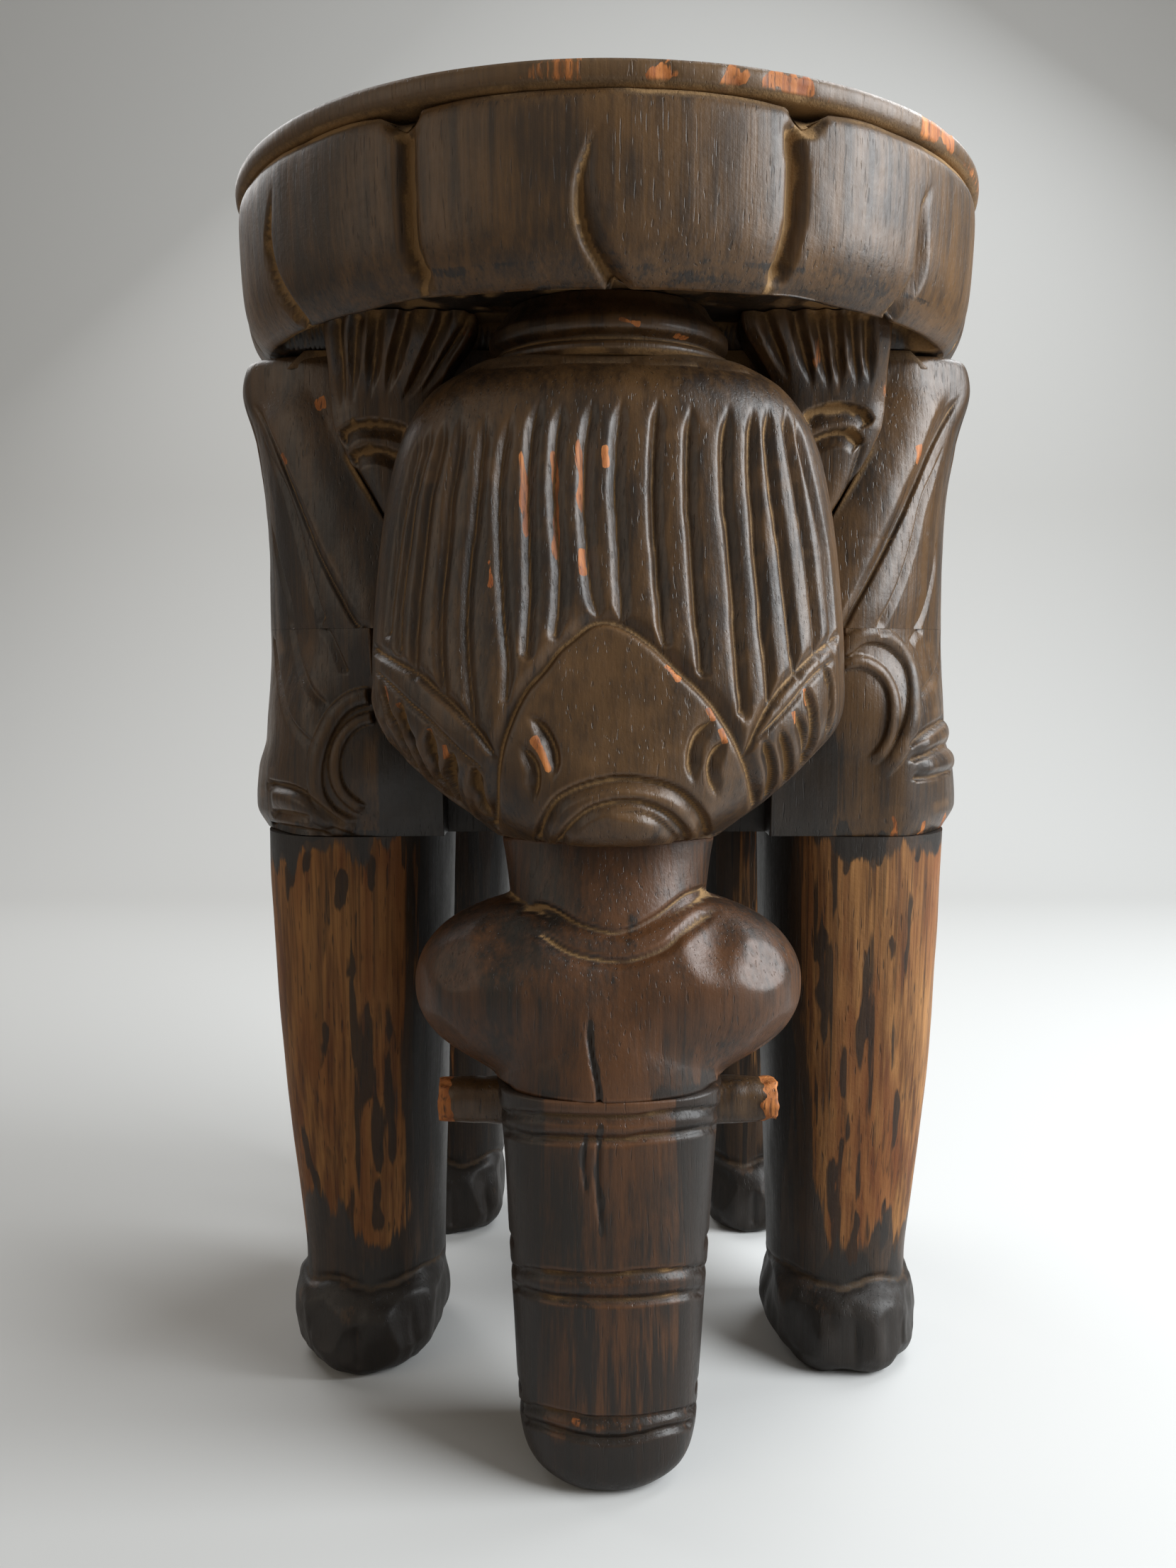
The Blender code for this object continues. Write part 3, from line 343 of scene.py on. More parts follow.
def at_height(outline, height):
    """A flat outline lifted to a height."""
    return np.column_stack((outline, np.full(len(outline), height)))


def round_ring(radius, height, count):
    """A circle about the stool's axis."""
    return at_height(oval(-radius, radius, radius, count=count), height)


def sided(outline, sign, height):
    """A right-hand section for either side of the stool."""
    ring = at_height(outline * (sign, 1), height)
    return ring[::-1] if sign < 0 else ring


def closing_rings(ring, steps, share):
    """Rings that close a flat end towards its middle, down to a share of its size."""
    middle = ring.mean(axis=0)
    rings = []
    for step in range(1, steps + 1):
        size = 1.0 - (1.0 - share) * step / steps
        rings.append(middle + (ring - middle) * size)
    return rings


def skin(name, rings):
    """Skin a stack of rings, in millimetres and bottom first, into one closed mesh."""
    count = len(rings[0])
    low = np.arange(count)
    following = np.roll(low, -1)
    quad = np.stack((low, following, following + count, low + count), 1)
    faces = np.concatenate([quad + i * count for i in range(len(rings) - 1)]).tolist()
    top = (len(rings) - 1) * count
    faces += [low[::-1].tolist(), (low + top).tolist()]
    mesh = bpy.data.meshes.new(name)
    mesh.from_pydata((np.concatenate(rings) * MM).tolist(), [], faces)
    mesh.shade_smooth()
    edges = np.zeros(len(mesh.edges) * 2, np.int32)
    mesh.edges.foreach_get("vertices", edges)
    edges = edges.reshape(-1, 2)
    rims = (edges < count).all(1) | (edges >= top).all(1)
    mesh.edges.foreach_set("use_edge_sharp", rims)
    piece = bpy.data.objects.new(name, mesh)
    bpy.context.scene.collection.objects.link(piece)
    return piece


print("sections of", OVAL_COUNT, "points and fewer, in millimetres")

# %% [markdown]
# ## Carving
# All the detail of the stool is cut with a few strokes: a V cut with a steep and a gentle
# bank, a raised cord left standing, a swelling or hollow, and the small waves that a knife
# leaves everywhere. A stroke is drawn as a few points, either in the photograph's pixels,
# which fall onto the wood that the camera sees, or as places in space. Each point of the
# mesh near the stroke then moves along its own normal.
#
# After the cuts, each point is set beside its smoothed surroundings. Where it lies deeper,
# dust collects, and where it stands proud, hands rub the stain away. Both are kept on the
# mesh as named values that the finish reads.

# %% Carving strokes
PATH_STEP = 1.0
PIXEL_STEP = 5.0
PIXEL_MISS = 14.0
STROKE_MARGIN = 12
FACING_LEAST = 0.03
DRAWN_ROUNDS = 8
PLACED_ROUNDS = 2
NEARER = 0.6
FALL_REACH = 2.2
BANK_LEAST = 0.35
TORN = 0.55
CAVITY_ROUNDS = 8
DUST_DEPTHS = (0.06, 0.55)
RUB_HEIGHTS = (0.05, 0.45)
END_BAND = 0.01
END_TILT = 0.93
SAME_SIDE = 0.1
HASH_PRIMES = (73856093, 19349663, 83492791)


def noise(points, size, seed):
    """Smooth random lumps from -1 to 1 in space; size is a lump's length along each axis."""
    cell = points / np.asarray(size, float) + seed * 17.31
    base = np.floor(cell).astype(np.int64)
    part = cell - base
    part = part * part * (3 - 2 * part)
    total = np.zeros(len(points))
    for corner in itertools.product((0, 1), repeat=3):
        x, y, z = ((base + corner) * HASH_PRIMES).T
        mixed = (x ^ y ^ z) & 0xFFFFFFF
        mixed = (mixed * 1103515245 + 12345) & 0x7FFFFFFF
        mixed = ((mixed ^ (mixed >> 13)) * 69069 + 1) & 0x7FFFFFFF
        weight = np.prod(np.where(corner, part, 1 - part), axis=1)
        total += weight * (mixed / 0x3FFFFFFF - 1.0)
    return total


def ramp(values, low, high):
    """Zero at low, one at high, and smooth between."""
    t = np.clip((values - low) / (high - low), 0.0, 1.0)
    return t * t * (3 - 2 * t)


def faded(along, start, end):
    """One along a stroke, and falling to zero over a share of it at either end."""
    fade = np.ones(len(along))
    if start > 0:
        fade *= ramp(along, 0.0, start)
    if end > 0:
        fade *= ramp(1 - along, 0.0, end)
    return fade


class Carving:
    """A piece of wood under the knife, in millimetres."""

    def __init__(self, piece):
        self.piece = piece
        mesh = piece.data
        count = len(mesh.vertices)
        edges = np.zeros(len(mesh.edges) * 2, np.int32)
        mesh.edges.foreach_get("vertices", edges)
        self.edges = edges.reshape(-1, 2)
        self.look()
        self.cuts = np.zeros(count)
        self.cords = np.zeros(count)
        self.lumps = np.zeros(count)
        self.tints = {name: np.zeros(count) for name in ("dust", "worn_and_highlight", "bare", "soot_and_shade")}

    def look(self):
        """Read the mesh: its points, its normals, and how the photograph sees them."""
        mesh = self.piece.data
        flat = np.zeros(len(mesh.vertices) * 3)
        mesh.vertices.foreach_get("co", flat)
        self.points = flat.reshape(-1, 3) / MM
        mesh.vertex_normals.foreach_get("vector", flat)
        self.normals = flat.reshape(-1, 3).copy()
        z = self.points[:, 2]
        ends = (z < z.min() + END_BAND) | (z > z.max() - END_BAND)
        ends &= np.abs(self.normals[:, 2]) < END_TILT
        self.normals[ends, 2] = 0.0
        self.normals[ends] /= np.linalg.norm(self.normals[ends], axis=1)[:, None]
        self.pixels = photo_pixels(self.points * MM)
        to_camera = CAMERA_PLACE / MM - self.points
        self.away = np.linalg.norm(to_camera, axis=1)
        self.facing = (self.normals * to_camera).sum(axis=1) / self.away

    def soften(self, amount, rounds):
        """Round the wood over where an amount, from zero to one, says so."""
        soft = self.smoothed(self.points, rounds)
        moved = self.points + amount[:, None] * (soft - self.points)
        self.piece.data.vertices.foreach_set("co", (moved * MM).ravel())
        self.piece.data.update()
        self.look()

    def drawn(self, pixels, smooth=DRAWN_ROUNDS):
        """A stroke drawn in the photograph, laid onto the wood that faces the camera."""
        line = flow(pixels, PIXEL_STEP)
        low, high = line.min(0) - STROKE_MARGIN, line.max(0) + STROKE_MARGIN
        seen = np.flatnonzero((self.facing > FACING_LEAST) & np.all(
            (self.pixels > low) & (self.pixels < high), axis=1))
        if len(seen) == 0:
            return np.zeros((0, 6))
        apart = ((self.pixels[seen][:, None] - line[None]) ** 2).sum(2)
        found = seen[(apart + NEARER * self.away[seen][:, None]).argmin(0)]
        return self.settled(found[apart.min(0) < PIXEL_MISS ** 2], smooth)

    def placed(self, places):
        """A stroke through places in space, laid onto the nearest wood."""
        line = flow(places, 2 * PATH_STEP)
        low, high = line.min(0) - STROKE_MARGIN, line.max(0) + STROKE_MARGIN
        near = np.flatnonzero(np.all((self.points > low) & (self.points < high), axis=1))
        apart = ((self.points[near][:, None] - line[None]) ** 2).sum(2)
        return self.settled(near[apart.argmin(0)], PLACED_ROUNDS)

    def settled(self, found, smooth):
        """A path with its normals from the points that a stroke has found."""
        if len(found) < 4:
            return np.zeros((0, 6))
        path = eased(np.hstack((self.points[found], self.normals[found])), smooth)
        length = np.linalg.norm(np.diff(path[:, :3], axis=0), axis=1).sum()
        return evenly(path, max(int(length / PATH_STEP), 4))

    def beside(self, path, reach):
        """The points near a path, with their signed distance from it and place along it."""
        if len(path) == 0:
            return np.zeros(0, int), np.zeros(0), np.zeros(0)
        line, lifted = path[:, :3], path[:, 3:]
        index = np.flatnonzero(np.all((self.points > line.min(0) - reach)
                                      & (self.points < line.max(0) + reach), axis=1))
        close = self.points[index]
        squared = (close ** 2).sum(1)[:, None] - 2 * close @ line.T + (line ** 2).sum(1)
        nearest = squared.argmin(1)
        tangent = np.gradient(line, axis=0)
        tangent /= np.linalg.norm(tangent, axis=1)[:, None] + 1e-9
        step = close - line[nearest]
        ahead = (step * tangent[nearest]).sum(1)
        off = step - ahead[:, None] * tangent[nearest]
        ends = ((nearest == 0) & (ahead < 0)) | ((nearest == len(line) - 1) & (ahead > 0))
        distance = np.linalg.norm(np.where(ends[:, None], step, off), axis=1)
        left = np.cross(lifted[nearest], tangent[nearest])
        distance *= np.where((step * left).sum(1) >= 0, 1.0, -1.0)
        lengths = np.concatenate(([0.0], np.cumsum(np.linalg.norm(np.diff(line, axis=0), axis=1))))
        along = np.clip((lengths[nearest] + ahead) / lengths[-1], 0.0, 1.0)
        same_side = (self.normals[index] * lifted[nearest]).sum(1) > SAME_SIDE
        return index[same_side], distance[same_side], along[same_side]

    def cut(self, path, depth, left, right=None, start=0.15, end=0.15, power=1.15, fall=0.0):
        """A V cut; left and right are its banks' widths, seen along the path from outside.

        With fall, a share of the depth, the wood beside the banks falls softly towards them."""
        right = left if right is None else right
        widest = max(left, right) * (FALL_REACH if fall else 1)
        index, distance, along = self.beside(path, widest + 1)
        fade = faded(along, start, end)
        bank = np.where(distance > 0, left, right) * (BANK_LEAST + (1 - BANK_LEAST) * fade)
        share = np.clip(1 - np.abs(distance) / bank, 0.0, 1.0) ** power
        soft = np.clip(1 - np.abs(distance) / (FALL_REACH * bank), 0.0, 1.0) ** 2
        share = (1 - fall) * share + fall * soft
        self.cuts[index] = np.minimum(self.cuts[index], -depth * fade * share)

    def cut_drawn(self, strokes, depth, left, right=None, **shape):
        """The same V cut along each of several strokes that are drawn in the photograph."""
        for pixels in strokes:
            self.cut(self.drawn(pixels), depth, left, right, **shape)

    def cord(self, path, height, left, right=None, start=0.1, end=0.1, power=0.5):
        """A rounded ridge left standing; a higher power gives it softer feet."""
        right = left if right is None else right
        index, distance, along = self.beside(path, max(left, right) + 1)
        share = np.clip(1 - (distance / np.where(distance > 0, left, right)) ** 2, 0.0, 1.0)
        raised = height * faded(along, start, end) * share ** power
        self.cords[index] = np.maximum(self.cords[index], raised)

    def swell(self, centre, radii, height):
        """A soft swelling, or a hollow where the height is negative."""
        far = (((self.points - np.array(centre)) / np.array(radii)) ** 2).sum(1)
        self.lumps += height * np.clip(1 - far, 0.0, 1.0) ** 2

    def shave(self, facing, depth, where):
        """Slice flat the wood that stands furthest out in a direction, as a knife does."""
        facing = np.array(facing) / np.linalg.norm(facing)
        reach = self.points @ facing
        ahead = np.maximum(reach - reach[where > 0.5].max() + depth, 0.0) * where
        self.points -= ahead[:, None] * facing

    def noise(self, size, seed):
        """Smooth random lumps over the wood, from -1 to 1."""
        return noise(self.points, size, seed)

    def ripple(self, height, size, seed):
        """The small waves that the knife leaves."""
        self.lumps += height * self.noise(size, seed)

    def tint(self, name, path, width, strength=1.0, start=0.1, end=0.1):
        """Brush a named value onto the wood along a path."""
        index, distance, along = self.beside(path, width)
        torn = 1 + TORN * noise(self.points[index], (2.0, 2.0, 7.0), 99)
        brushed = np.clip(torn - np.abs(distance) / width, 0.0, 1.0) * faded(along, start, end)
        values = self.tints[name]
        values[index] = np.maximum(values[index], strength * brushed)

    def wash(self, name, values):
        """Lay values for every point over a named value."""
        self.tints[name] = np.maximum(self.tints[name], values)

    def smoothed(self, values, rounds):
        """Values averaged with their neighbours', a few times over."""
        first, second = self.edges.T
        count = len(self.points)
        near = np.bincount(first, minlength=count) + np.bincount(second, minlength=count)
        near = np.maximum(near, 1)
        for _ in range(rounds):
            summed = np.stack([np.bincount(first, column[second], count)
                               + np.bincount(second, column[first], count)
                               for column in values.T], 1)
            values = 0.5 * values + 0.5 * summed / near[:, None]
        return values

    def finish(self, node, material, dust=1.0, worn_and_highlight=1.0):
        """Move the points, keep the tints, and hand the piece to the frame."""
        moved = self.points + self.normals * (self.cuts + self.cords + self.lumps)[:, None]
        moved[:, 2] = np.maximum(moved[:, 2], 0.0)
        cavity = ((self.smoothed(moved, CAVITY_ROUNDS) - moved) * self.normals).sum(1)
        self.wash("dust", dust * ramp(cavity, *DUST_DEPTHS))
        self.wash("worn_and_highlight", worn_and_highlight * ramp(-cavity, *RUB_HEIGHTS))
        mesh = self.piece.data
        mesh.vertices.foreach_set("co", (moved * MM).ravel())
        for name, values in self.tints.items():
            layer = mesh.attributes.new(name, "FLOAT", "POINT")
            layer.data.foreach_set("value", np.clip(values, 0.0, 1.0))
        mesh.update()
        mesh.materials.append(material)
        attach(self.piece, "root")
        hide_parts(node)
        print(node, len(mesh.vertices), "points")


print("strokes are walked in steps of", PATH_STEP, "mm")

# %% [markdown]
# ## The finish
# One kind of wood runs through the whole stool, with its rings round an upright pith and its
# fibres along the trunk of the tree, so the figure shows as upright streaks on the sides and
# as rings on the seat. A dark stain lies over it, thinner where hands and feet rub. Dust
# has settled in the cuts, bare orange wood shows at the chips, and soot-black stain has
# stayed in streaks on the legs. The same near-black layer is also laid as painted shade in
# recesses, on undersides and on hidden inner faces, and the lighter rubbed tone also gives a
# painted highlight band on the seat's petals. Each layer is a colour mixed over the one below
# by a value that the carving left on the mesh, broken up by fine noise.

# %% Wood finish
CHIP_WOOD = ((0.24, 0.065, 0.014), (0.58, 0.215, 0.058))
LEG_WOOD = ((0.085, 0.030, 0.009), (0.37, 0.180, 0.062))
DUST_THIN = (0.105, 0.062, 0.028)
DUST_THICK = (0.29, 0.175, 0.075)
SOOT_AND_SHADE = (0.0095, 0.0070, 0.0052)
RED_FIGURE = (0.16, 0.046, 0.013)
PITH = (0.028, 0.035, 0.0)
RUB_AND_HIGHLIGHT = 0.5
WAX = 0.12
WAX_ROUGHNESS = 0.34
WOOD_SPECULAR = 0.34


def carved_wood(name, thin, thick, gloss, ragged=1.6, under=CHIP_WOOD, ringed=0.0, blur=0.08):
    """Stained and waxed wood; thin and thick are the stain's colours, gloss its roughness."""
    material, tree, shader = new_material(name)
    place = make_node(tree, "ShaderNodeTexCoord", output="Object")

    def cloud(stretch, scale, detail=3.0, seed=0.0):
        """Noise from zero to one; a small stretch along an axis draws it out there."""
        return place.make("ShaderNodeTexNoise", {"noise_dimensions": "4D"},
                          {"Vector": place * stretch, "W": seed, "Scale": scale,
                           "Detail": detail, "Roughness": 0.6})

    def value(layer):
        """A named value that the carving left on the mesh."""
        return make_node(tree, "ShaderNodeAttribute", {"attribute_name": layer}, output="Fac")

    log = (place - PITH) * (1.0, 1.0, 0.05)
    rings = place.make("ShaderNodeTexWave",
                       {"wave_type": "RINGS", "rings_direction": "Z"},
                       {"Vector": log, "Scale": 95.0, "Distortion": 3.0, "Detail": 3.0,
                        "Detail Scale": 1.6}, output="Fac")
    fibre = cloud((1.0, 1.0, 0.020), 760.0)
    streak = cloud((1.0, 1.0, 0.018), 240.0, 4.0, 3.1)
    flame = cloud((1.0, 1.0, 0.045), 105.0, 2.0, 9.4)
    pore = cloud((1.0, 1.0, 0.09), 1100.0, 1.0, 7.7).between(0.62, 0.72)
    patch = cloud((1.0, 1.0, 0.6), 26.0, 5.0, 1.7)
    speck = cloud((1.0, 1.0, 1.0), 420.0, 3.0, 5.2)
    grit = cloud((1.0, 1.0, 1.0), 1300.0, 2.0, 8.8)
    hair = cloud((1.0, 1.0, 0.010), 700.0, 2.0, 6.3).between(0.54, 0.66)
    figure = (rings * 0.06 + fibre * 0.36 + streak * 0.34 + flame * 0.24).between(0.37, 0.62)
    bare_wood = plain(tree, under[0]).mix(under[1], figure)
    bare_wood = bare_wood.mix(RED_FIGURE, (patch * 0.55 + flame * 0.45).between(0.46, 0.62) * 0.62)
    bare_wood = bare_wood.mix(SOOT_AND_SHADE, pore * 0.7).mix(SOOT_AND_SHADE, hair * 0.5)
    depth = (patch * (0.5 - ringed) + rings * 0.4 * ringed + streak * (0.3 + 0.6 * ringed)
             + fibre * 0.2).between(0.40, 0.60)
    stained = plain(tree, thin).mix(thick, depth).mix(SOOT_AND_SHADE, pore * 0.6)
    # The lighter rubbed tone: wear on rubbed crests, and also a painted highlight band on the seat's
    # petals.
    rubbed_and_lit_tone = tuple(min(1.9 * channel + 0.006, 1.0) for channel in thin)
    rubbed_and_highlit = value("worn_and_highlight") * RUB_AND_HIGHLIGHT * (0.3 + streak * 1.1)
    stained = stained.mix(rubbed_and_lit_tone, rubbed_and_highlit.between(0.05, 1.0))

    edge = (streak * 0.40 + flame * 0.25 + fibre * 0.35 - 0.5) * ragged
    bare = (value("bare") + edge).between(0.5 - blur, 0.5 + blur)
    colour = stained.mix(bare_wood, bare)
    # The near-black layer: black stain on the legs and in cracks, and also painted shade in recesses, on
    # undersides and on hidden inner faces.
    soot_and_shade = (value("soot_and_shade") + edge).between(0.48 - blur, 0.52 + blur)
    colour = colour.mix(SOOT_AND_SHADE, soot_and_shade * 0.88)
    dust = value("dust") * (speck * 0.5 + (patch - 0.5) * 1.6 + 0.65)
    dusty = dust.between(0.12, 0.70)
    colour = colour.mix(DUST_THIN, dusty * 0.9)
    colour = colour.mix(DUST_THICK, (dust + grit * 0.4 - 0.2).between(0.52, 0.95) * 0.9)
    plug(shader.inputs["Base Color"], colour)

    rough = (gloss + (fibre - 0.5) * 0.14 + (patch - 0.5) * 0.22 + (speck - 0.5) * 0.16
             + bare * 0.16 + dusty * 0.34)
    plug(shader.inputs["Roughness"], rough.between(0.0, 1.0))
    relief = fibre * 0.4 + streak * 0.5 - pore * 0.4 + speck * 0.5 + grit * (dusty * 0.5 + 0.12)
    bump = place.make("ShaderNodeBump", None,
                      {"Strength": 0.5, "Distance": 0.0006, "Height": relief}, output="Normal")
    plug(shader.inputs["Normal"], bump)
    shader.inputs["Coat Weight"].default_value = WAX
    shader.inputs["Coat Roughness"].default_value = WAX_ROUGHNESS
    shader.inputs["Specular IOR Level"].default_value = WOOD_SPECULAR
    return material


DARK = carved_wood("dark_stain_wood", (0.088, 0.046, 0.018), (0.017, 0.010, 0.006), 0.43)
SEAT = carved_wood("seat_stain_wood", (0.120, 0.063, 0.024), (0.027, 0.016, 0.009), 0.46)
BOARD = carved_wood("seat_board_wood", (0.105, 0.058, 0.024), (0.030, 0.018, 0.010), 0.46,
                    ringed=0.10)
WARM = carved_wood("warm_stain_wood", (0.086, 0.036, 0.014), (0.011, 0.0075, 0.005), 0.46)
WORN = carved_wood("worn_leg_wood", (0.056, 0.030, 0.015), (0.015, 0.010, 0.007), 0.52,
                   ragged=2.3, under=LEG_WOOD, blur=0.10)
print("finishes:", DARK.name, SEAT.name, BOARD.name, WARM.name, WORN.name)

# %% [markdown]
# ## The seat
# The seat is a thick round slab that flares into a ring of broad petals. Its top is end
# grain with drying checks that run out from the pith. The rim is a band cut by hand, so it
# isn't quite round, and its edge is chipped where the stool has been knocked. Seven upright
# cuts part the petals, and a sickle-shaped line runs down the middle of each.

# %% Seat board
BOARD_UNDER = 441.5
BOARD_FOOT = 430.0
BOARD_CORE = (60.0, 98.0)
BOARD_COUNT = 760
RIM_ROUND = 2.8
RIM_STEPS = 4
TOP_RINGS = 84
TOP_RADIUS = 140.0
TOP_SWAY = 0.05
CHIPS = (((925, 88), (938, 100), (950, 116)), ((1022, 102), (1036, 112), (1049, 124)),
         ((1078, 104), (1115, 118), (1152, 134)), ((1300, 168), (1322, 182), (1348, 198)))
DRYING_CHECKS = ((18, 8, 66, 1.0), (71, 4, 44, 0.8), (128, 6, 124, 1.5), (133, 60, 104, 0.8),
                 (176, 12, 58, 0.9), (224, 5, 96, 1.2), (263, 10, 52, 0.8), (304, 4, 137, 1.6),
                 (310, 84, 126, 0.9), (344, 14, 62, 0.9))


def board_rings(radii):
    """Rings of the hidden core, of the undercut rim and of the flat top with its radii."""
    profile = [(BOARD_CORE[0], BOARD_FOOT), (BOARD_CORE[1], BOARD_FOOT),
               (BOARD_CORE[1], BOARD_UNDER), (SEAT_RADIUS - 3.2, BOARD_UNDER),
               (SEAT_RADIUS - 1.4, BOARD_UNDER + 0.3), (SEAT_RADIUS - 0.4, BOARD_UNDER + 1.6),
               (SEAT_RADIUS, BOARD_UNDER + 3.6), (SEAT_RADIUS, STOOL_HEIGHT - RIM_ROUND)]
    for step in range(1, RIM_STEPS + 1):
        turn = math.pi / 2 * step / RIM_STEPS
        profile.append((SEAT_RADIUS - RIM_ROUND * (1 - math.cos(turn)),
                        STOOL_HEIGHT - RIM_ROUND * (1 - math.sin(turn))))
    rings = [round_ring(radius, height, BOARD_COUNT)
             for radius, height in profile[:2] + evenly(profile[2:], 30).tolist()]
    for radius in radii:
        sway = TOP_SWAY * math.sin((TOP_RADIUS - radius) / 13.0)
        turned = np.array(((math.cos(sway), math.sin(sway)), (-math.sin(sway), math.cos(sway))))
        ring = oval(-radius, radius, radius, count=BOARD_COUNT) @ turned
        ring += np.array(PITH[:2]) / MM * (1 - radius / TOP_RADIUS)
        rings.append(at_height(ring, STOOL_HEIGHT))
    return rings


def crack_top(carving, radii, first_row):
    """Cut the drying checks, which run out from the pith, ring by ring."""
    half = BOARD_COUNT / 2
    spokes = np.arange(BOARD_COUNT)
    for row, radius in enumerate(radii, start=first_row):
        cuts = carving.cuts[row * BOARD_COUNT:(row + 1) * BOARD_COUNT]
        for turn, inner, outer, depth in DRYING_CHECKS:
            aside = np.abs((spokes - turn / 360 * BOARD_COUNT + half) % BOARD_COUNT - half)
            aside = aside * math.tau * radius / BOARD_COUNT
            fade = ramp(radius, inner, inner + 14) * ramp(outer - radius, 0, 18)
            share = np.clip(1 - aside / (0.5 + 1.1 * radius / TOP_RADIUS), 0.0, 1.0)
            np.minimum(cuts, -depth * fade * share, out=cuts)


def make_seat_board():
    """The seat's upper board, with its chipped rim and its checked top."""
    radii = np.linspace(TOP_RADIUS, 0.8, TOP_RINGS)
    rings = board_rings(radii)
    carving = Carving(skin("seat_board_slab", rings))
    outside = np.linalg.norm(carving.points[:, :2], axis=1)
    z = carving.points[:, 2]
    upper = z > BOARD_UNDER + 0.5
    carving.lumps -= 0.35 * upper * (1 + carving.noise((60, 60, 60), 1))
    carving.lumps -= 0.10 * upper * (1 + carving.noise((14, 14, 9), 2))
    crack_top(carving, radii, len(rings) - TOP_RINGS)
    for pixels in CHIPS:
        path = carving.drawn(pixels)
        carving.tint("bare", path, 6.5, 1.1, 0.05, 0.05)
        carving.cut(path, 0.9, 4.0, start=0.1, end=0.1)
    edge = ramp(outside, 138.0, 143.0) * upper
    carving.wash("bare", 0.44 * edge * ramp(carving.noise((26, 26, 8), 5), 0.25, 0.7))
    carving.wash("dust", 0.9 * ramp(BOARD_UNDER + 2.2 - z, 0.0, 2.0))
    rim_line = ramp(outside, 60, 136) * ramp(carving.noise((30, 30, 30), 9), -0.2, 0.7)
    carving.wash("worn_and_highlight", 0.55 * rim_line * (z > STOOL_HEIGHT - 2))
    carving.finish("seat_board", BOARD, worn_and_highlight=0.8)


make_seat_board()

# %% Petalled drum
PETAL_RADIUS = 143.4
PETAL_FOOT = 386.0
PETAL_HEIGHT = 55.2
DRUM_COUNT = 900
RECESS_RISE = 9.0
RECESS_RADIUS = 131.5
PETAL_ROWS = ((0.926, 0.0), (0.950, 0.055), (0.976, 0.17), (0.992, 0.36), (1.0, 0.72),
              (0.998, 0.92), (0.984, 1.0))
SLOT_LEFT = ((561, 190), (562, 240), (566, 300), (572, 350), (586, 388), (602, 418))
SLOT_RIGHT = ((1127, 185), (1128, 240), (1126, 300), (1118, 345), (1103, 385), (1083, 416))
SLOT_SHAPE = ((0, 436), (0, 420), (0, 405), (0.5, 394), (1.5, 387.5))
SLOT_MOUTH = ((0, 441), (0, 437), (0, 430))
SLOTS = {-27.3: SLOT_LEFT, 25.3: SLOT_RIGHT, 76.5: None, 128.0: None, 179.0: None,
         230.0: None, 281.5: None}
SICKLE_MIDDLE = ((860, 163), (838, 185), (822, 225), (815, 270), (822, 325), (843, 370), (864, 408))
SICKLE_RIGHT = ((1322, 252), (1306, 285), (1301, 340), (1295, 385), (1276, 418), (1254, 442))
SICKLE_LEFT = ((386, 252), (379, 285), (374, 340), (379, 385), (398, 425), (418, 450))
SICKLE_SHAPE = ((-3.3, 438), (1.2, 433), (4.6, 426), (6.2, 417), (5.0, 405), (1.0, 396),
                (-3.4, 388))
SICKLES = {-1.5: SICKLE_MIDDLE, 51.0: SICKLE_RIGHT, 102.3: None, 153.5: None, 204.5: None,
           256.0: None, -54.0: SICKLE_LEFT}


def drum_stroke(carving, turn, pixels, shape):
    """A stroke as the photograph shows it or, out of its sight, a usual shape at a turn.

    The turn is in degrees from the front, to the right."""
    if pixels:
        return carving.drawn(pixels)
    places = []
    for sideways, height in shape:
        bend = math.radians(turn) + sideways / PETAL_RADIUS
        places.append((PETAL_RADIUS * math.sin(bend), -PETAL_RADIUS * math.cos(bend), height))
    return carving.placed(places)


def drum_rings():
    """Rings of the flat underside, with its recess in front, and of the flaring side."""
    profile = [(PETAL_RADIUS * wide, PETAL_FOOT + PETAL_HEIGHT * up) for wide, up in PETAL_ROWS]
    bottom = [(radius, PETAL_FOOT) for radius in np.linspace(8.0, profile[0][0] - 0.6, 90)]
    side = flow(profile, 1.0).tolist()
    rings = [round_ring(radius, height, DRUM_COUNT)
             for radius, height in bottom + side + [(PETAL_RADIUS * 0.93, 441.3)]]
    for ring, (radius, height) in zip(rings, bottom):
        front = ramp(-ring[:, 1], BODY_FRONT - 0.4, BODY_FRONT + 1.6)
        ring[:, 2] += RECESS_RISE * ramp(RECESS_RADIUS - radius, 0, 5) * front
    return rings


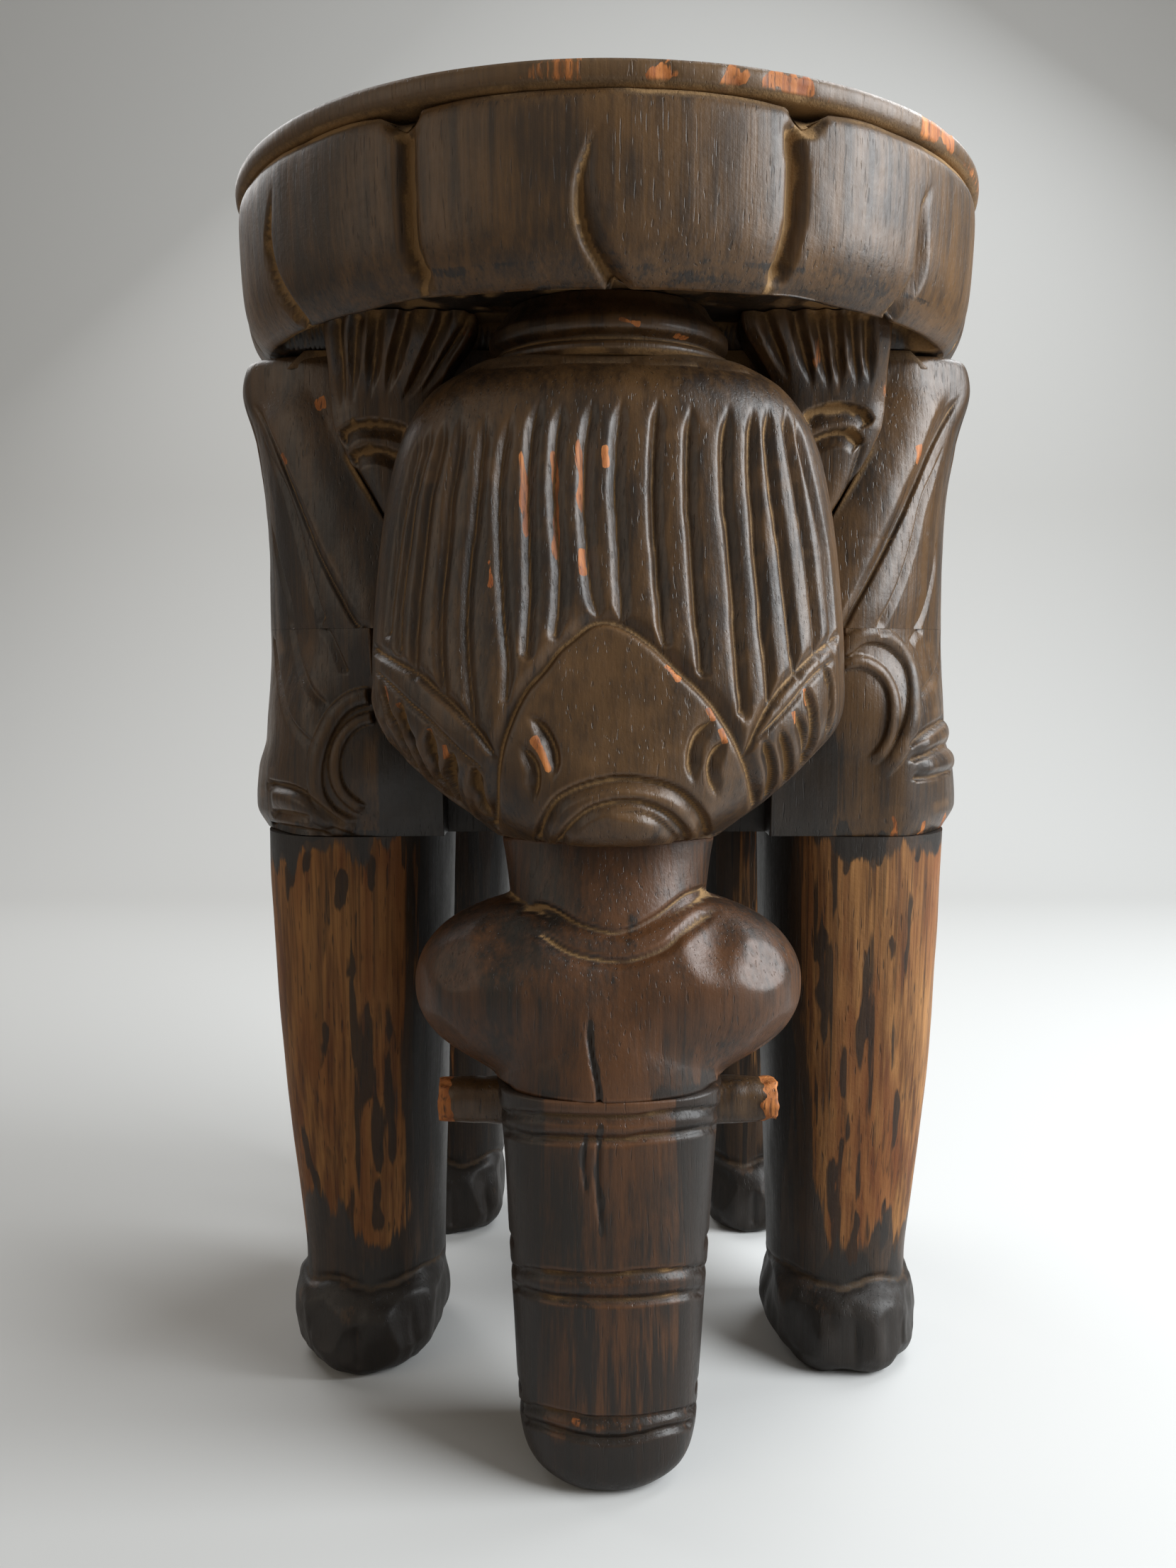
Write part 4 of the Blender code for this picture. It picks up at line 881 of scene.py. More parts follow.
def make_seat_drum():
    """The ring of petals, with painted shade in streaks along the lower edge and underneath, a painted
    highlight band above that edge, and crusted dust underneath.
    """
    carving = Carving(skin("seat_petals", drum_rings()))
    x, y, z = carving.points.T
    turn = np.degrees(np.arctan2(x, -y))
    outside = np.hypot(x, y)
    side = ramp(outside, 128.0, 133.0)
    for slot in SLOTS:
        apart = np.abs((turn - slot + 180) % 360 - 180)
        carving.lumps -= 1.5 * side * np.exp(-(apart / 5.5) ** 2)
    carving.lumps -= 0.30 * side * (1 + carving.noise((17, 17, 70), 3))
    carving.ripple(0.12, (6, 6, 14), 4)
    for slot, pixels in SLOTS.items():
        path = drum_stroke(carving, slot, pixels, SLOT_SHAPE)
        carving.cut(path, 6.0, 4.4, 3.8, start=0.0, end=0.14, power=0.75, fall=0.3)
        mouth = drum_stroke(carving, slot, None, SLOT_MOUTH)
        carving.cut(mouth, 5.4, 7.5, start=0.0, end=0.85, power=0.9)
        carving.tint("dust", path, 4.4, 1.0, 0.0, 0.0)
        carving.tint("dust", mouth, 8.0, 1.3, 0.0, 0.4)
    for sickle, pixels in SICKLES.items():
        path = drum_stroke(carving, sickle, pixels, SICKLE_SHAPE)
        carving.cut(path, 4.6, 6.4, 1.6, start=0.6, end=0.0, power=1.0)
        carving.tint("dust", path, 4.0, 0.85, 0.6, 0.0)
    # Painted shade: a streaky darker band along the lower edge, where the petals turn under.
    streaking = carving.noise((26, 26, 1.7), 6) + 0.6 * carving.noise((9, 9, 1.2), 10)
    lower = ramp(397.0 - z + 3 * streaking, 0.0, 5.0) * side
    carving.wash("soot_and_shade", lower * np.clip(0.32 + 0.24 * streaking, 0.0, 0.50))
    # A lighter band above the lower edge: a painted highlight, partly rubbed wear.
    glow = ramp(z, 392, 402) * ramp(425 - z, 0, 22) * side
    cloud = carving.noise((24, 24, 15), 12) + 0.5 * carving.noise((9, 9, 9), 16)
    carving.wash("worn_and_highlight", 0.8 * glow * np.clip(0.1 + 0.9 * cloud, 0, 1))
    # Underneath: painted shade in near-black blotches, with dust between them.
    under = ramp(133.5 - outside, 0.0, 1.5) * ramp(400 - z, 0, 2)
    blotches = carving.noise((13, 13, 13), 7) + 0.5 * carving.noise((5, 5, 5), 13)
    carving.wash("soot_and_shade", under * np.clip(0.55 - 0.5 * blotches, 0.25, 0.66))
    carving.wash("dust", under * ramp(blotches, -0.1, 0.6))
    top_edge = ramp(z, 437.5, 440.4) * side
    carving.wash("dust", 1.1 * top_edge * ramp(carving.noise((20, 20, 20), 8), -0.7, 0.4))
    carving.finish("seat_drum", SEAT, worn_and_highlight=0.7)


make_seat_drum()

# %% [markdown]
# ## Head and collar
# The elephant wears a cloth over its brow, carved as a dome of long pleats. Each pleat is a
# cut with one steep bank and one gentle bank, so a sharp bright edge runs down beside a
# shaded hollow. A pointed medallion lies over the cloth's lower edge, with two crescents and
# a rainbow of three arcs. The strokes are drawn where the photograph shows them.

# %% Head lines
HEAD_BOTTOM = 213.0
HEAD_TOP = 372.7
HEAD_HALF_WIDTH = 83.0
HEAD_REACH = 86.5
HEAD_EDGE = HEAD_BACK + 24.0
HEAD_LIP = 4.0
HEAD_CORE = 58.0
HEAD_ROWS = ((0.0, 0.50, 0.925, 1.8), (0.03, 0.57, 0.985, 1.9), (0.08, 0.70, 1.0, 2.0),
             (0.16, 0.86, 0.985, 2.2), (0.25, 0.985, 0.945, 2.4), (0.36, 1.0, 0.905, 2.4),
             (0.55, 0.975, 0.82, 2.4), (0.74, 0.925, 0.765, 2.4), (0.87, 0.845, 0.72, 2.5),
             (0.95, 0.735, 0.67, 2.5), (1.0, 0.575, 0.57, 2.4))
PLEATS = (
    ((766, 555), (749, 609), (744, 689), (746, 778), (746, 858), (741, 918)),
    ((796, 562), (784, 619), (781, 704), (787, 778), (789, 828), (783, 893)),
    ((839, 557), (826, 624), (823, 704), (828, 778), (834, 838), (844, 863)),
    ((879, 560), (870, 619), (868, 704), (872, 778), (877, 873)),
    ((930, 555), (923, 619), (921, 704), (925, 778), (930, 843), (936, 905)),
    ((976, 567), (971, 629), (971, 704), (976, 778), (982, 853), (990, 945)),
    ((1030, 567), (1021, 629), (1023, 704), (1030, 778), (1036, 853), (1042, 928), (1048, 1002)),
    ((1063, 567), (1059, 629), (1062, 704), (1068, 778), (1074, 853), (1082, 928), (1088, 987)),
    ((1084, 567), (1084, 629), (1092, 704), (1103, 778), (1112, 853), (1119, 903), (1124, 948)),
    ((1108, 570), (1114, 629), (1127, 704), (1139, 778), (1149, 853), (1154, 918)),
    ((1122, 589), (1137, 654), (1152, 719), (1166, 788), (1174, 868), (1175, 908)))
LEFT_PLEATS = (
    ((723, 575), (710, 629), (703, 704), (704, 778), (709, 868), (716, 945), (712, 985)),
    ((684, 575), (679, 629), (672, 704), (664, 778), (657, 853), (658, 928), (667, 1025)),
    ((652, 579), (644, 639), (634, 704), (627, 778), (620, 853), (619, 918), (624, 980)),
    ((629, 587), (617, 644), (604, 704), (595, 778), (587, 853), (583, 903), (582, 952)),
    ((610, 597), (597, 644), (582, 704), (572, 778), (562, 853), (560, 915)),
    ((596, 608), (582, 654), (567, 719), (557, 788), (549, 853), (546, 890)))
MEDALLION = ((699, 1168), (699, 1102), (704, 1062), (716, 1022), (735, 982), (762, 948),
             (803, 903), (853, 874), (908, 900), (953, 940), (990, 978), (1020, 1012),
             (1043, 1054), (1060, 1102), (1063, 1146))
BANDS = (((527, 918), (560, 938), (585, 950), (625, 985), (667, 1028), (697, 1070)),
         ((1181, 902), (1155, 922), (1124, 950), (1090, 992), (1066, 1040), (1056, 1068)),)
BAND_EDGES = (((526, 944), (560, 975), (606, 1020), (640, 1055), (668, 1078), (694, 1098)),
              ((1179, 930), (1150, 952), (1122, 985), (1098, 1012), (1076, 1036), (1060, 1060)))
LEAVES_LEFT = (((535, 952), (537, 988), (554, 1028), (580, 1076), (606, 1112)),
               ((562, 978), (561, 1016), (580, 1052), (602, 1096), (640, 1138)),
               ((605, 1018), (601, 1052), (612, 1086), (630, 1126), (662, 1158)),
               ((640, 1058), (630, 1082), (635, 1116), (652, 1147), (684, 1176)),
               ((668, 1078), (666, 1106), (678, 1142), (696, 1164)))
LEAVES_RIGHT = (((1161, 930), (1174, 958), (1176, 1002), (1168, 1042)),
                ((1131, 958), (1149, 992), (1151, 1032), (1146, 1060), (1126, 1090)),
                ((1121, 998), (1136, 1032), (1139, 1072), (1122, 1100)),
                ((1097, 1022), (1111, 1052), (1114, 1102), (1096, 1122)),
                ((1074, 1037), (1089, 1066), (1092, 1106), (1077, 1136)))
CRESCENTS = (((739, 1007), (764, 1020), (781, 1050), (786, 1076), (778, 1104)),
             ((729, 1050), (748, 1064), (758, 1092), (752, 1137)),
             ((1012, 1012), (985, 1030), (973, 1062), (974, 1090), (982, 1112)),
             ((1032, 1040), (1010, 1056), (1001, 1082), (1004, 1108), (1015, 1130)))
RAINBOW = ((756, 1206), (764, 1160), (788, 1126), (828, 1106), (878, 1098), (928, 1104),
           (967, 1121), (992, 1151), (1000, 1182), (992, 1204))
INNER_BOW = ((781, 1206), (798, 1171), (828, 1144), (878, 1130), (918, 1136), (953, 1156),
             (972, 1186), (968, 1202))
LENS = ((838, 1150), (878, 1146), (918, 1150), (948, 1172), (962, 1198))
HEAD_RIM = ((530, 962), (539, 1010), (562, 1062), (606, 1116), (664, 1160), (700, 1178),
            (744, 1196), (800, 1207), (850, 1213), (920, 1210), (985, 1198), (1052, 1172),
            (1108, 1130), (1150, 1080), (1174, 1030), (1182, 990))
CROWN = ((611, 538), (640, 525), (685, 515), (760, 507), (855, 504), (940, 507), (1018, 515),
         (1060, 524), (1092, 536), (1118, 556))
HEAD_CHIPS = (((734, 628), (738, 690), (741, 768)), ((779, 622), (783, 690), (786, 800)),
              ((815, 608), (818, 660), (820, 730)), ((688, 784), (692, 810), (690, 834)),
              ((823, 770), (822, 790), (824, 814)), ((854, 626), (853, 642), (855, 662)),
              ((541, 966), (544, 980), (548, 994)), ((558, 988), (563, 1002), (568, 1016)),
              ((603, 1028), (607, 1042), (611, 1056)), ((624, 1048), (628, 1060), (632, 1074)),
              ((936, 936), (948, 948), (960, 962)), ((998, 998), (1003, 1008), (1008, 1020)),
              ((1016, 1026), (1020, 1038), (1024, 1050)), ((748, 1036), (764, 1062), (776, 1092)),
              ((1136, 970), (1139, 982), (1143, 996)), ((1118, 1000), (1121, 1012), (1124, 1024)))
STEEP_FROM = 4
HAIR_SIDES = (79.5, 81.8, 83.6)
HAIR_HEIGHTS = (350, 330, 305, 285, 268)
MEDALLION_MIDDLE = (880, 1060)
MEDALLION_REACH = (185, 175)
print(len(PLEATS) + len(LEFT_PLEATS), "pleats and", len(HEAD_CHIPS), "chips")

# %% Head block
def head_rings(rows=196):
    """Rings of the dome: a flat back, a lip on either side and a blunt oval in front."""
    rings = []
    for row in range(rows):
        width, reach, roundness = smooth_row(HEAD_ROWS, min(row / (rows - 1), 1.0))
        half = HEAD_HALF_WIDTH * width
        bulge = HEAD_BACK + HEAD_REACH * reach - HEAD_EDGE
        core = min(HEAD_CORE, half)
        arc = oval(-HEAD_EDGE - bulge, -HEAD_EDGE + bulge, half, roundness)[OVAL_COUNT // 2:]
        arc = np.vstack((arc, [(half, -HEAD_EDGE)]))
        lip = np.array([(-half + 2.5, -HEAD_EDGE + HEAD_LIP)])
        outline = np.vstack((evenly([(-core, -HEAD_BACK), (-core, -HEAD_EDGE + HEAD_LIP)], 8),
                             evenly(np.vstack((lip, arc, lip * (-1, 1))), 360),
                             evenly([(core, -HEAD_EDGE + HEAD_LIP), (core, -HEAD_BACK)], 8)))
        height = HEAD_BOTTOM + (HEAD_TOP - HEAD_BOTTOM) * row / (rows - 1)
        rings.append(at_height(outline, height))
    return rings


def carve_cloth(carving):
    """The cloth's pleats, its bands and the curled leaves below them."""
    pleat = {"start": 0.12, "end": 0.0, "power": 0.9, "fall": 0.4}
    carving.cut_drawn(PLEATS[:STEEP_FROM], 2.5, 3.3, 2.6, **pleat)
    carving.cut_drawn(PLEATS[STEEP_FROM:], 3.0, 3.3, 2.0, **pleat)
    carving.cut_drawn(LEFT_PLEATS, 2.2, 3.0, 2.4, **pleat)
    outermost = HAIR_SIDES[-1]
    for sign, side in itertools.product((-1, 1), HAIR_SIDES):
        line = [(sign * side, -HEAD_EDGE + 1.0 - (outermost - side), height)
                for height in HAIR_HEIGHTS]
        carving.cut(carving.placed(line), 1.2, 2.2, start=0.3)
    for band, banks in zip(BANDS, ((3.5, 1.7), (1.7, 3.5))):
        carving.cut(carving.drawn(band), 2.6, *banks, start=0.0, end=0.0, fall=0.3)
    carving.cut_drawn(BAND_EDGES, 1.4, 1.6, start=0.1, end=0.1)
    for leaf in LEAVES_LEFT:
        path = carving.drawn(leaf)
        carving.cut(path, 4.6, 4.6, 1.5, start=0.15, end=0.3, power=0.9)
        carving.tint("dust", path, 1.8, 0.7)
        ridge = carving.drawn([(across - 9, down + 4) for across, down in leaf])
        carving.cord(ridge, 0.9, 1.8, start=0.2, end=0.3)
        carving.tint("worn_and_highlight", ridge, 2.2, 1.0)
    carving.cut_drawn(LEAVES_RIGHT, 3.0, 1.6, 4.2, start=0.2, end=0.3, power=0.9)


def carve_medallion(carving):
    """The pointed medallion with its crescents and its rainbow of arcs."""
    carving.cut(carving.drawn(MEDALLION), 3.2, 4.6, 1.6, start=0.0, end=0.06, fall=0.35)
    carving.cut_drawn(CRESCENTS[:2], 2.8, 1.5, 4.0, start=0.3, end=0.3, power=0.9)
    carving.cut_drawn(CRESCENTS[2:], 2.8, 4.0, 1.5, start=0.3, end=0.3, power=0.9)
    carving.cut(carving.drawn(RAINBOW), 2.7, 1.5, 4.0, start=0.05, end=0.05, power=0.9)
    carving.cut(carving.drawn(INNER_BOW), 2.5, 1.5, 3.6, start=0.05, end=0.05, power=0.9)
    carving.cut(carving.drawn(LENS), 1.9, 1.4, 3.2, start=0.3, end=0.1)
    carving.swell((-2, -139, 218), (15, 12, 9), -1.6)


def make_head():
    """The head under its cloth, chipped and rubbed where hands reach it."""
    carving = Carving(skin("head_cloth", head_rings()))
    carving.ripple(0.22, (9, 9, 26), 11)
    carve_cloth(carving)
    carve_medallion(carving)
    carving.cut(carving.drawn(HEAD_RIM), 1.8, 1.8, start=0.05, end=0.05)
    carving.cord(carving.drawn(CROWN, 20), 1.3, 3.4, start=0.2, end=0.2)
    for pixels in HEAD_CHIPS:
        carving.tint("bare", carving.drawn(pixels, 2), 1.6, 1.5, 0.15, 0.15)
    off = (carving.pixels - MEDALLION_MIDDLE) / MEDALLION_REACH
    shield = ramp(1 - off[:, 0] ** 2 - off[:, 1] ** 2, 0.0, 0.35)
    mottle = carving.noise((11, 11, 13), 14) + 0.6 * carving.noise((3, 3, 4), 15)
    carving.wash("worn_and_highlight", shield * np.clip(0.45 + 0.55 * mottle, 0, 1))
    carving.wash("worn_and_highlight", 0.8 * ramp(mottle, 0.35, 1.0))
    carving.wash("dust", 0.5 * ramp(carving.points[:, 2], 368.0, 372.0))
    carving.finish("head", DARK)


make_head()

# %% Collar rings
COLLAR_RISE = 21.5
COLLAR_ROWS = ((0.0, 0.94), (0.07, 1.0), (0.17, 0.99), (0.24, 0.90), (0.29, 0.91), (0.38, 0.975),
               (0.52, 0.985), (0.70, 0.93), (0.86, 0.86), (1.0, 0.82))
COLLAR_RADIUS = 43.0
COLLAR_CHIPS = (((872, 450), (888, 454), (904, 458)), ((948, 474), (960, 476), (972, 478)))
COLLAR_CENTRE = HEAD_BACK + 13.0


def make_collar():
    """The neck's rings, with dust crusted at their foot."""
    rings = []
    for share in np.linspace(0.0, 1.0, 44):
        radius = COLLAR_RADIUS * smooth_row(COLLAR_ROWS, share)[0]
        outline = oval(-COLLAR_CENTRE - radius, -COLLAR_CENTRE + radius, radius)
        outline[:, 1] = np.minimum(outline[:, 1], -HEAD_BACK)
        rings.append(at_height(closed_evenly(outline, 300), HEAD_TOP + GAP + COLLAR_RISE * share))
    carving = Carving(skin("collar_rings", rings))
    carving.ripple(0.35, (12, 12, 6), 21)
    blotches = carving.noise((12, 12, 4), 22)
    carving.wash("dust", 0.4 * ramp(blotches, 0.0, 0.6))
    carving.wash("dust", ramp(HEAD_TOP + 3.2 - carving.points[:, 2], 0, 2) * ramp(blotches, -0.6, 0.2))
    for pixels in COLLAR_CHIPS:
        carving.tint("bare", carving.drawn(pixels), 1.5, 1.3, 0.05, 0.05)
    carving.finish("collar", DARK)


make_collar()

# %% [markdown]
# ## Face and trunk
# Below the cloth the face narrows between two round cheeks. In blocks, the cheeks would be
# balls glued to the sides. Here each section is measured outwards from an upright axis, and
# the ball's reach and the face's are joined with a soft maximum, so that one flows into the
# other. The trunk hangs straight to the floor, with rings cut across it by knife.

# %% Face
SEAM = 0.12
FACE_BOTTOM = 131.3
FACE_TOP = 212.7
FACE_HALF_WIDTH = 40.0
FACE_FRONT = 135.0
FACE_BACK = 60.0
FACE_ROWS = ((0.0, 1.0, 1.0), (0.12, 0.96, 0.992), (0.32, 0.86, 0.963), (0.55, 0.83, 0.918),
             (0.75, 0.86, 0.868), (0.90, 0.90, 0.835), (1.0, 0.94, 0.822))
CHEEK_SIDE = 27.0
CHEEK_SETBACK = -95.0
CHEEK_HEIGHT = FACE_BOTTOM + 30.2
CHEEK_RADII = (40.5, 33.0, 30.3)
CHEEK_BLEND = 13.0
CHEEK_FACETS = (((0.92, -0.38, 0.05), 1.1), ((0.50, -0.75, 0.42), 1.4),
                ((0.62, -0.55, -0.55), 1.4), ((0.72, -0.20, 0.66), 1.3))
TEMPLE = (36, -122, 182)
TEMPLE_RADII = (13, 20, 17)
FACE_COUNT = 340
BROWS = (((713, 1297), (735, 1282), (762, 1276), (790, 1287), (815, 1303), (866, 1315),
          (904, 1305), (935, 1287), (966, 1264), (992, 1252), (1019, 1255), (1034, 1274)),
         ((736, 1319), (763, 1316), (790, 1335), (820, 1348), (866, 1355), (904, 1350),
          (943, 1333), (973, 1302), (1000, 1284), (1023, 1281)))
CREASES = (((617, 1471), (635, 1490), (660, 1508), (690, 1524)),
           ((1111, 1444), (1090, 1478), (1058, 1502), (1012, 1524)))
FACE_CRACK = ((832, 1425), (830, 1460), (838, 1510), (846, 1558))


def face_ring(share):
    """The face's section at a share of its height, with the cheeks' balls melted into it."""
    height = FACE_BOTTOM + (FACE_TOP - FACE_BOTTOM) * share
    width, front = smooth_row(FACE_ROWS, share)
    outline = oval(-FACE_FRONT * front, -FACE_BACK, FACE_HALF_WIDTH * width, 2.3)
    middle = np.array((0.0, -0.5 * (FACE_FRONT * front + FACE_BACK)))
    arms = outline - middle
    turns = np.arctan2(arms[:, 1], arms[:, 0]) % math.tau
    order = turns.argsort()
    angles = np.linspace(0, math.tau, FACE_COUNT, endpoint=False)
    ways = np.stack((np.cos(angles), np.sin(angles)), 1)
    reach = np.interp(angles, turns[order], np.linalg.norm(arms, axis=1)[order], period=math.tau)
    level = 1 - ((height - CHEEK_HEIGHT) / CHEEK_RADII[2]) ** 2
    for sign in (-1, 1) if level > 0 else ():
        radii = np.array(CHEEK_RADII[:2]) * math.sqrt(level)
        centre = (np.array((sign * CHEEK_SIDE, CHEEK_SETBACK)) - middle) / radii
        arm = ways / radii
        square = (arm ** 2).sum(1)
        ahead = arm @ centre
        inside = ahead ** 2 - square * (centre @ centre - 1)
        cheek = np.where(inside > 0, (ahead + np.sqrt(np.maximum(inside, 0))) / square, 0.0)
        melt = np.clip(0.5 + 0.5 * (cheek - reach) / CHEEK_BLEND, 0, 1)
        reach = reach + (cheek - reach) * melt + CHEEK_BLEND * melt * (1 - melt)
    return at_height(middle + reach[:, None] * ways, height)


def make_face(rows=108):
    """The face with its two cheeks, shaved in flats as a knife leaves them."""
    rings = [face_ring(row / (rows - 1)) for row in range(rows)]
    rings[0][:, 2] -= SEAM
    rings = closing_rings(rings[0], 10, 0.1)[::-1] + rings + closing_rings(rings[-1], 6, 0.3)
    carving = Carving(skin("face_and_cheeks", rings))
    carving.ripple(0.30, (11, 11, 20), 31)
    for sign in (-1, 1):
        carving.swell(np.array(TEMPLE) * (sign, 1, 1), TEMPLE_RADII, -3.4)
    x = carving.points[:, 0]
    for sign in (-1, 1):
        cheek = ramp(sign * x, 30, 38)
        for facing, depth in CHEEK_FACETS:
            carving.shave(np.array(facing) * (sign, 1, 1), depth, cheek)
        carving.soften(0.8 * cheek, 4)
    carving.cut_drawn(BROWS, 1.9, 1.6, 4.0, start=0.15, end=0.15)
    carving.cut_drawn(CREASES, 2.6, 3.0, start=0.3, end=0.1)
    crack = carving.drawn(FACE_CRACK)
    carving.cut(crack, 1.7, 1.1, start=0.3, end=0.0)
    carving.tint("soot_and_shade", crack, 2.0, 1.2, 0.2, 0.0)
    mottle = carving.noise((14, 14, 20), 34) + 0.5 * carving.noise((4, 4, 6), 35)
    # Darker towards the bottom of the face, and in random dark patches.
    low = ramp(FACE_BOTTOM + 9 - carving.points[:, 2], 0, 10)
    carving.wash("worn_and_highlight", np.clip(0.10 + 0.6 * mottle, 0, 1))
    carving.wash("soot_and_shade", 0.45 * low + 0.42 * ramp(-mottle, 0.1, 0.8))
    clean = np.clip(1.1 - 1.3 * carving.tints["soot_and_shade"], 0, 1)
    carving.finish("face", WARM, dust=clean)


make_face()

# %% Trunk
TRUNK_TOP = 131.0
TRUNK_HALF_WIDTH = 38.5
TRUNK_FRONT = 143.0
TRUNK_BACK = 88.0
TRUNK_ROWS = ((0.0, 0.40, 0.955, 1.14), (0.015, 0.54, 0.982, 1.10), (0.05, 0.70, 0.998, 1.05),
              (0.11, 0.775, 1.0, 1.03), (0.20, 0.80, 0.997, 1.02), (0.47, 0.86, 0.980, 1.0),
              (0.85, 0.94, 0.950, 0.965), (1.0, 1.0, 0.944, 0.93))
TRUNK_RINGS = (((700, 1566), (760, 1573), (830, 1577), (900, 1575), (960, 1568), (1015, 1560)),
               ((712, 1598), (760, 1607), (830, 1612), (900, 1608), (960, 1599), (1012, 1592)),
               ((719, 1787), (770, 1795), (840, 1800), (900, 1797), (950, 1792), (994, 1787)),
               ((722, 1817), (790, 1835), (877, 1838), (930, 1834), (992, 1824)),
               ((733, 1977), (795, 1995), (850, 2003), (916, 2001), (981, 1984)),
               ((738, 2005), (798, 2025), (845, 2034), (893, 2032), (974, 2011)))
BACK_RINGS = (121.0, 129.0, 68.0, 78.0, 21.0, 29.0)
TRUNK_CRACKS = (((850, 1590), (842, 1650), (846, 1700), (852, 1760)),
                ((826, 1600), (824, 1640), (828, 1690)))
TRUNK_CHIP = ((803, 2004), (812, 2010), (820, 2008))


def ring_behind(carving, height):
    """Cut a ring on round the trunk's back, where the photograph doesn't show it."""
    width, front, back = smooth_row(TRUNK_ROWS, height / TRUNK_TOP)
    half = TRUNK_HALF_WIDTH * width
    middle = -0.5 * (TRUNK_FRONT * front + TRUNK_BACK * back)
    reach = -TRUNK_BACK * back
    line = [(-half + 1, middle - 10), (-half, middle), (-half + 4, reach - 6), (0, reach),
            (half - 4, reach - 6), (half, middle), (half - 1, middle - 10)]
    carving.cut(carving.placed([(*place, height) for place in line]), 2.0, 2.4, start=0.0, end=0.0)


def make_trunk(rows=150):
    """The trunk: a blunt tapered post, ringed, cracked and darkened at its sides."""
    rings = []
    for row in range(rows):
        share = (row / (rows - 1)) ** 1.12
        width, front, back = smooth_row(TRUNK_ROWS, share)
        outline = oval(-TRUNK_FRONT * front, -TRUNK_BACK * back, TRUNK_HALF_WIDTH * width, 2.5)
        rings.append(at_height(closed_evenly(outline, 260), (TRUNK_TOP + SEAM) * share))
    rings = closing_rings(rings[0], 8, 0.05)[::-1] + rings + closing_rings(rings[-1], 6, 0.3)
    carving = Carving(skin("trunk_with_rings", rings))
    carving.ripple(0.35, (13, 13, 24), 41)
    carving.cut_drawn(TRUNK_RINGS[::2], 2.2, 1.3, 3.2, start=0.0, end=0.0)
    carving.cut_drawn(TRUNK_RINGS[1::2], 2.2, 3.2, 1.3, start=0.0, end=0.0)
    for pixels in TRUNK_RINGS:
        carving.tint("dust", carving.drawn(pixels), 1.6, 0.25, 0.0, 0.0)
    for height in BACK_RINGS:
        ring_behind(carving, height)
    for crack in TRUNK_CRACKS:
        path = carving.drawn(crack)
        carving.cut(path, 1.6, 1.1, start=0.1, end=0.3)
        carving.tint("soot_and_shade", path, 2.0, 1.2, 0.0, 0.2)
    carving.tint("bare", carving.drawn(TRUNK_CHIP), 1.8, 1.2)
    z = carving.points[:, 2]
    # Darker at the sides and towards the floor, with streaky dark patches.
    sides = ramp(np.abs(carving.points[:, 0]), 17, 30) + ramp(30 - z, 0, 24)
    darkening = 0.66 * sides + 0.36 * carving.noise((8, 8, 45), 46) + 0.18 + 0.24 * ramp(76 - z, 0, 40)
    carving.wash("soot_and_shade", np.clip(darkening, 0, 0.7))
    clean = np.clip(0.9 - carving.tints["soot_and_shade"], 0, 1)
    carving.finish("trunk", WARM, dust=clean)


make_trunk()

# %% Tusk stubs
TUSK_RADIUS = 8.5
TUSK_SETBACK = 98.0
TUSK_HEIGHT = 119.5
TUSK_ROOT = 30.3
TUSK_END = 59.0
TUSK_COUNT = 90


def make_tusk(hand, sign):
    """A whittled stub with a broken end of bare wood."""
    rings = []
    for along in np.linspace(TUSK_ROOT, TUSK_END, 36):
        radius = TUSK_RADIUS * (1.0 - 0.17 * (along - TUSK_ROOT) / (TUSK_END - TUSK_ROOT))
        outline = closed_evenly(oval(-radius, radius, radius, 2.5), TUSK_COUNT)
        places = np.column_stack((np.full(TUSK_COUNT, along), outline[:, 0] - TUSK_SETBACK,
                                  outline[:, 1] + TUSK_HEIGHT))
        rings.append(places * (sign, 1, 1))
    rings += closing_rings(rings[-1], 10, 0.05)
    rings = [ring[::sign] for ring in rings]
    carving = Carving(skin(f"tusk_stub_{hand}", rings))
    carving.ripple(0.45, (5, 7, 7), 51 + sign)
    out = np.abs(carving.points[:, 0]) + 2.2 * carving.noise((6, 3, 3), 54 + sign)
    end = ramp(out, TUSK_END - 5.5, TUSK_END - 3.5)
    carving.lumps += 0.8 * end * carving.noise((4, 2.2, 2.2), 53 + sign)
    carving.wash("bare", 1.2 * end)
    carving.finish(f"tusk_{hand}", DARK)


for hand, sign in (("left", -1), ("right", 1)):
    make_tusk(hand, sign)

# %% [markdown]
# ## Tassels
# Beside the head, under the seat, hangs a tassel: a fluted fan on top, two bows round its
# neck, and a long drop below. It is a thin board in relief, so its form is a stack of level
# strips, each with a domed front and a flat back against the body.

# %% Tassels
TASSEL_INNER = 60.0
TASSEL_OUTER = 99.0
TASSEL_DROP = 69.06
TASSEL_THICKNESS = 13.5
TASSEL_TOP = 385.7
TASSEL_RISE = 8.8
TASSEL_FLARE = 13.0
TASSEL_LEAN = 10.0
TASSEL_EDGE = ((1.0, 0.0), (0.995, 0.34), (0.97, 0.43), (0.85, 0.58), (0.60, 0.82),
               (0.43, 0.985), (0.38, 1.0))
TASSEL_LEFT = {
    "flutes": (((472, 455), (478, 520), (484, 582)), ((502, 450), (497, 510), (498, 572)),
               ((532, 445), (527, 505), (520, 568)), ((573, 440), (560, 500), (543, 566)),
               ((628, 440), (602, 510), (562, 576)), ((668, 440), (644, 490), (590, 560))),
    "bows": (((476, 618), (490, 604), (510, 597), (540, 596), (576, 606)),
             ((486, 654), (500, 640), (520, 634), (545, 636), (566, 646))),
    "drop": ((500, 668), (512, 700), (528, 730), (545, 752))}
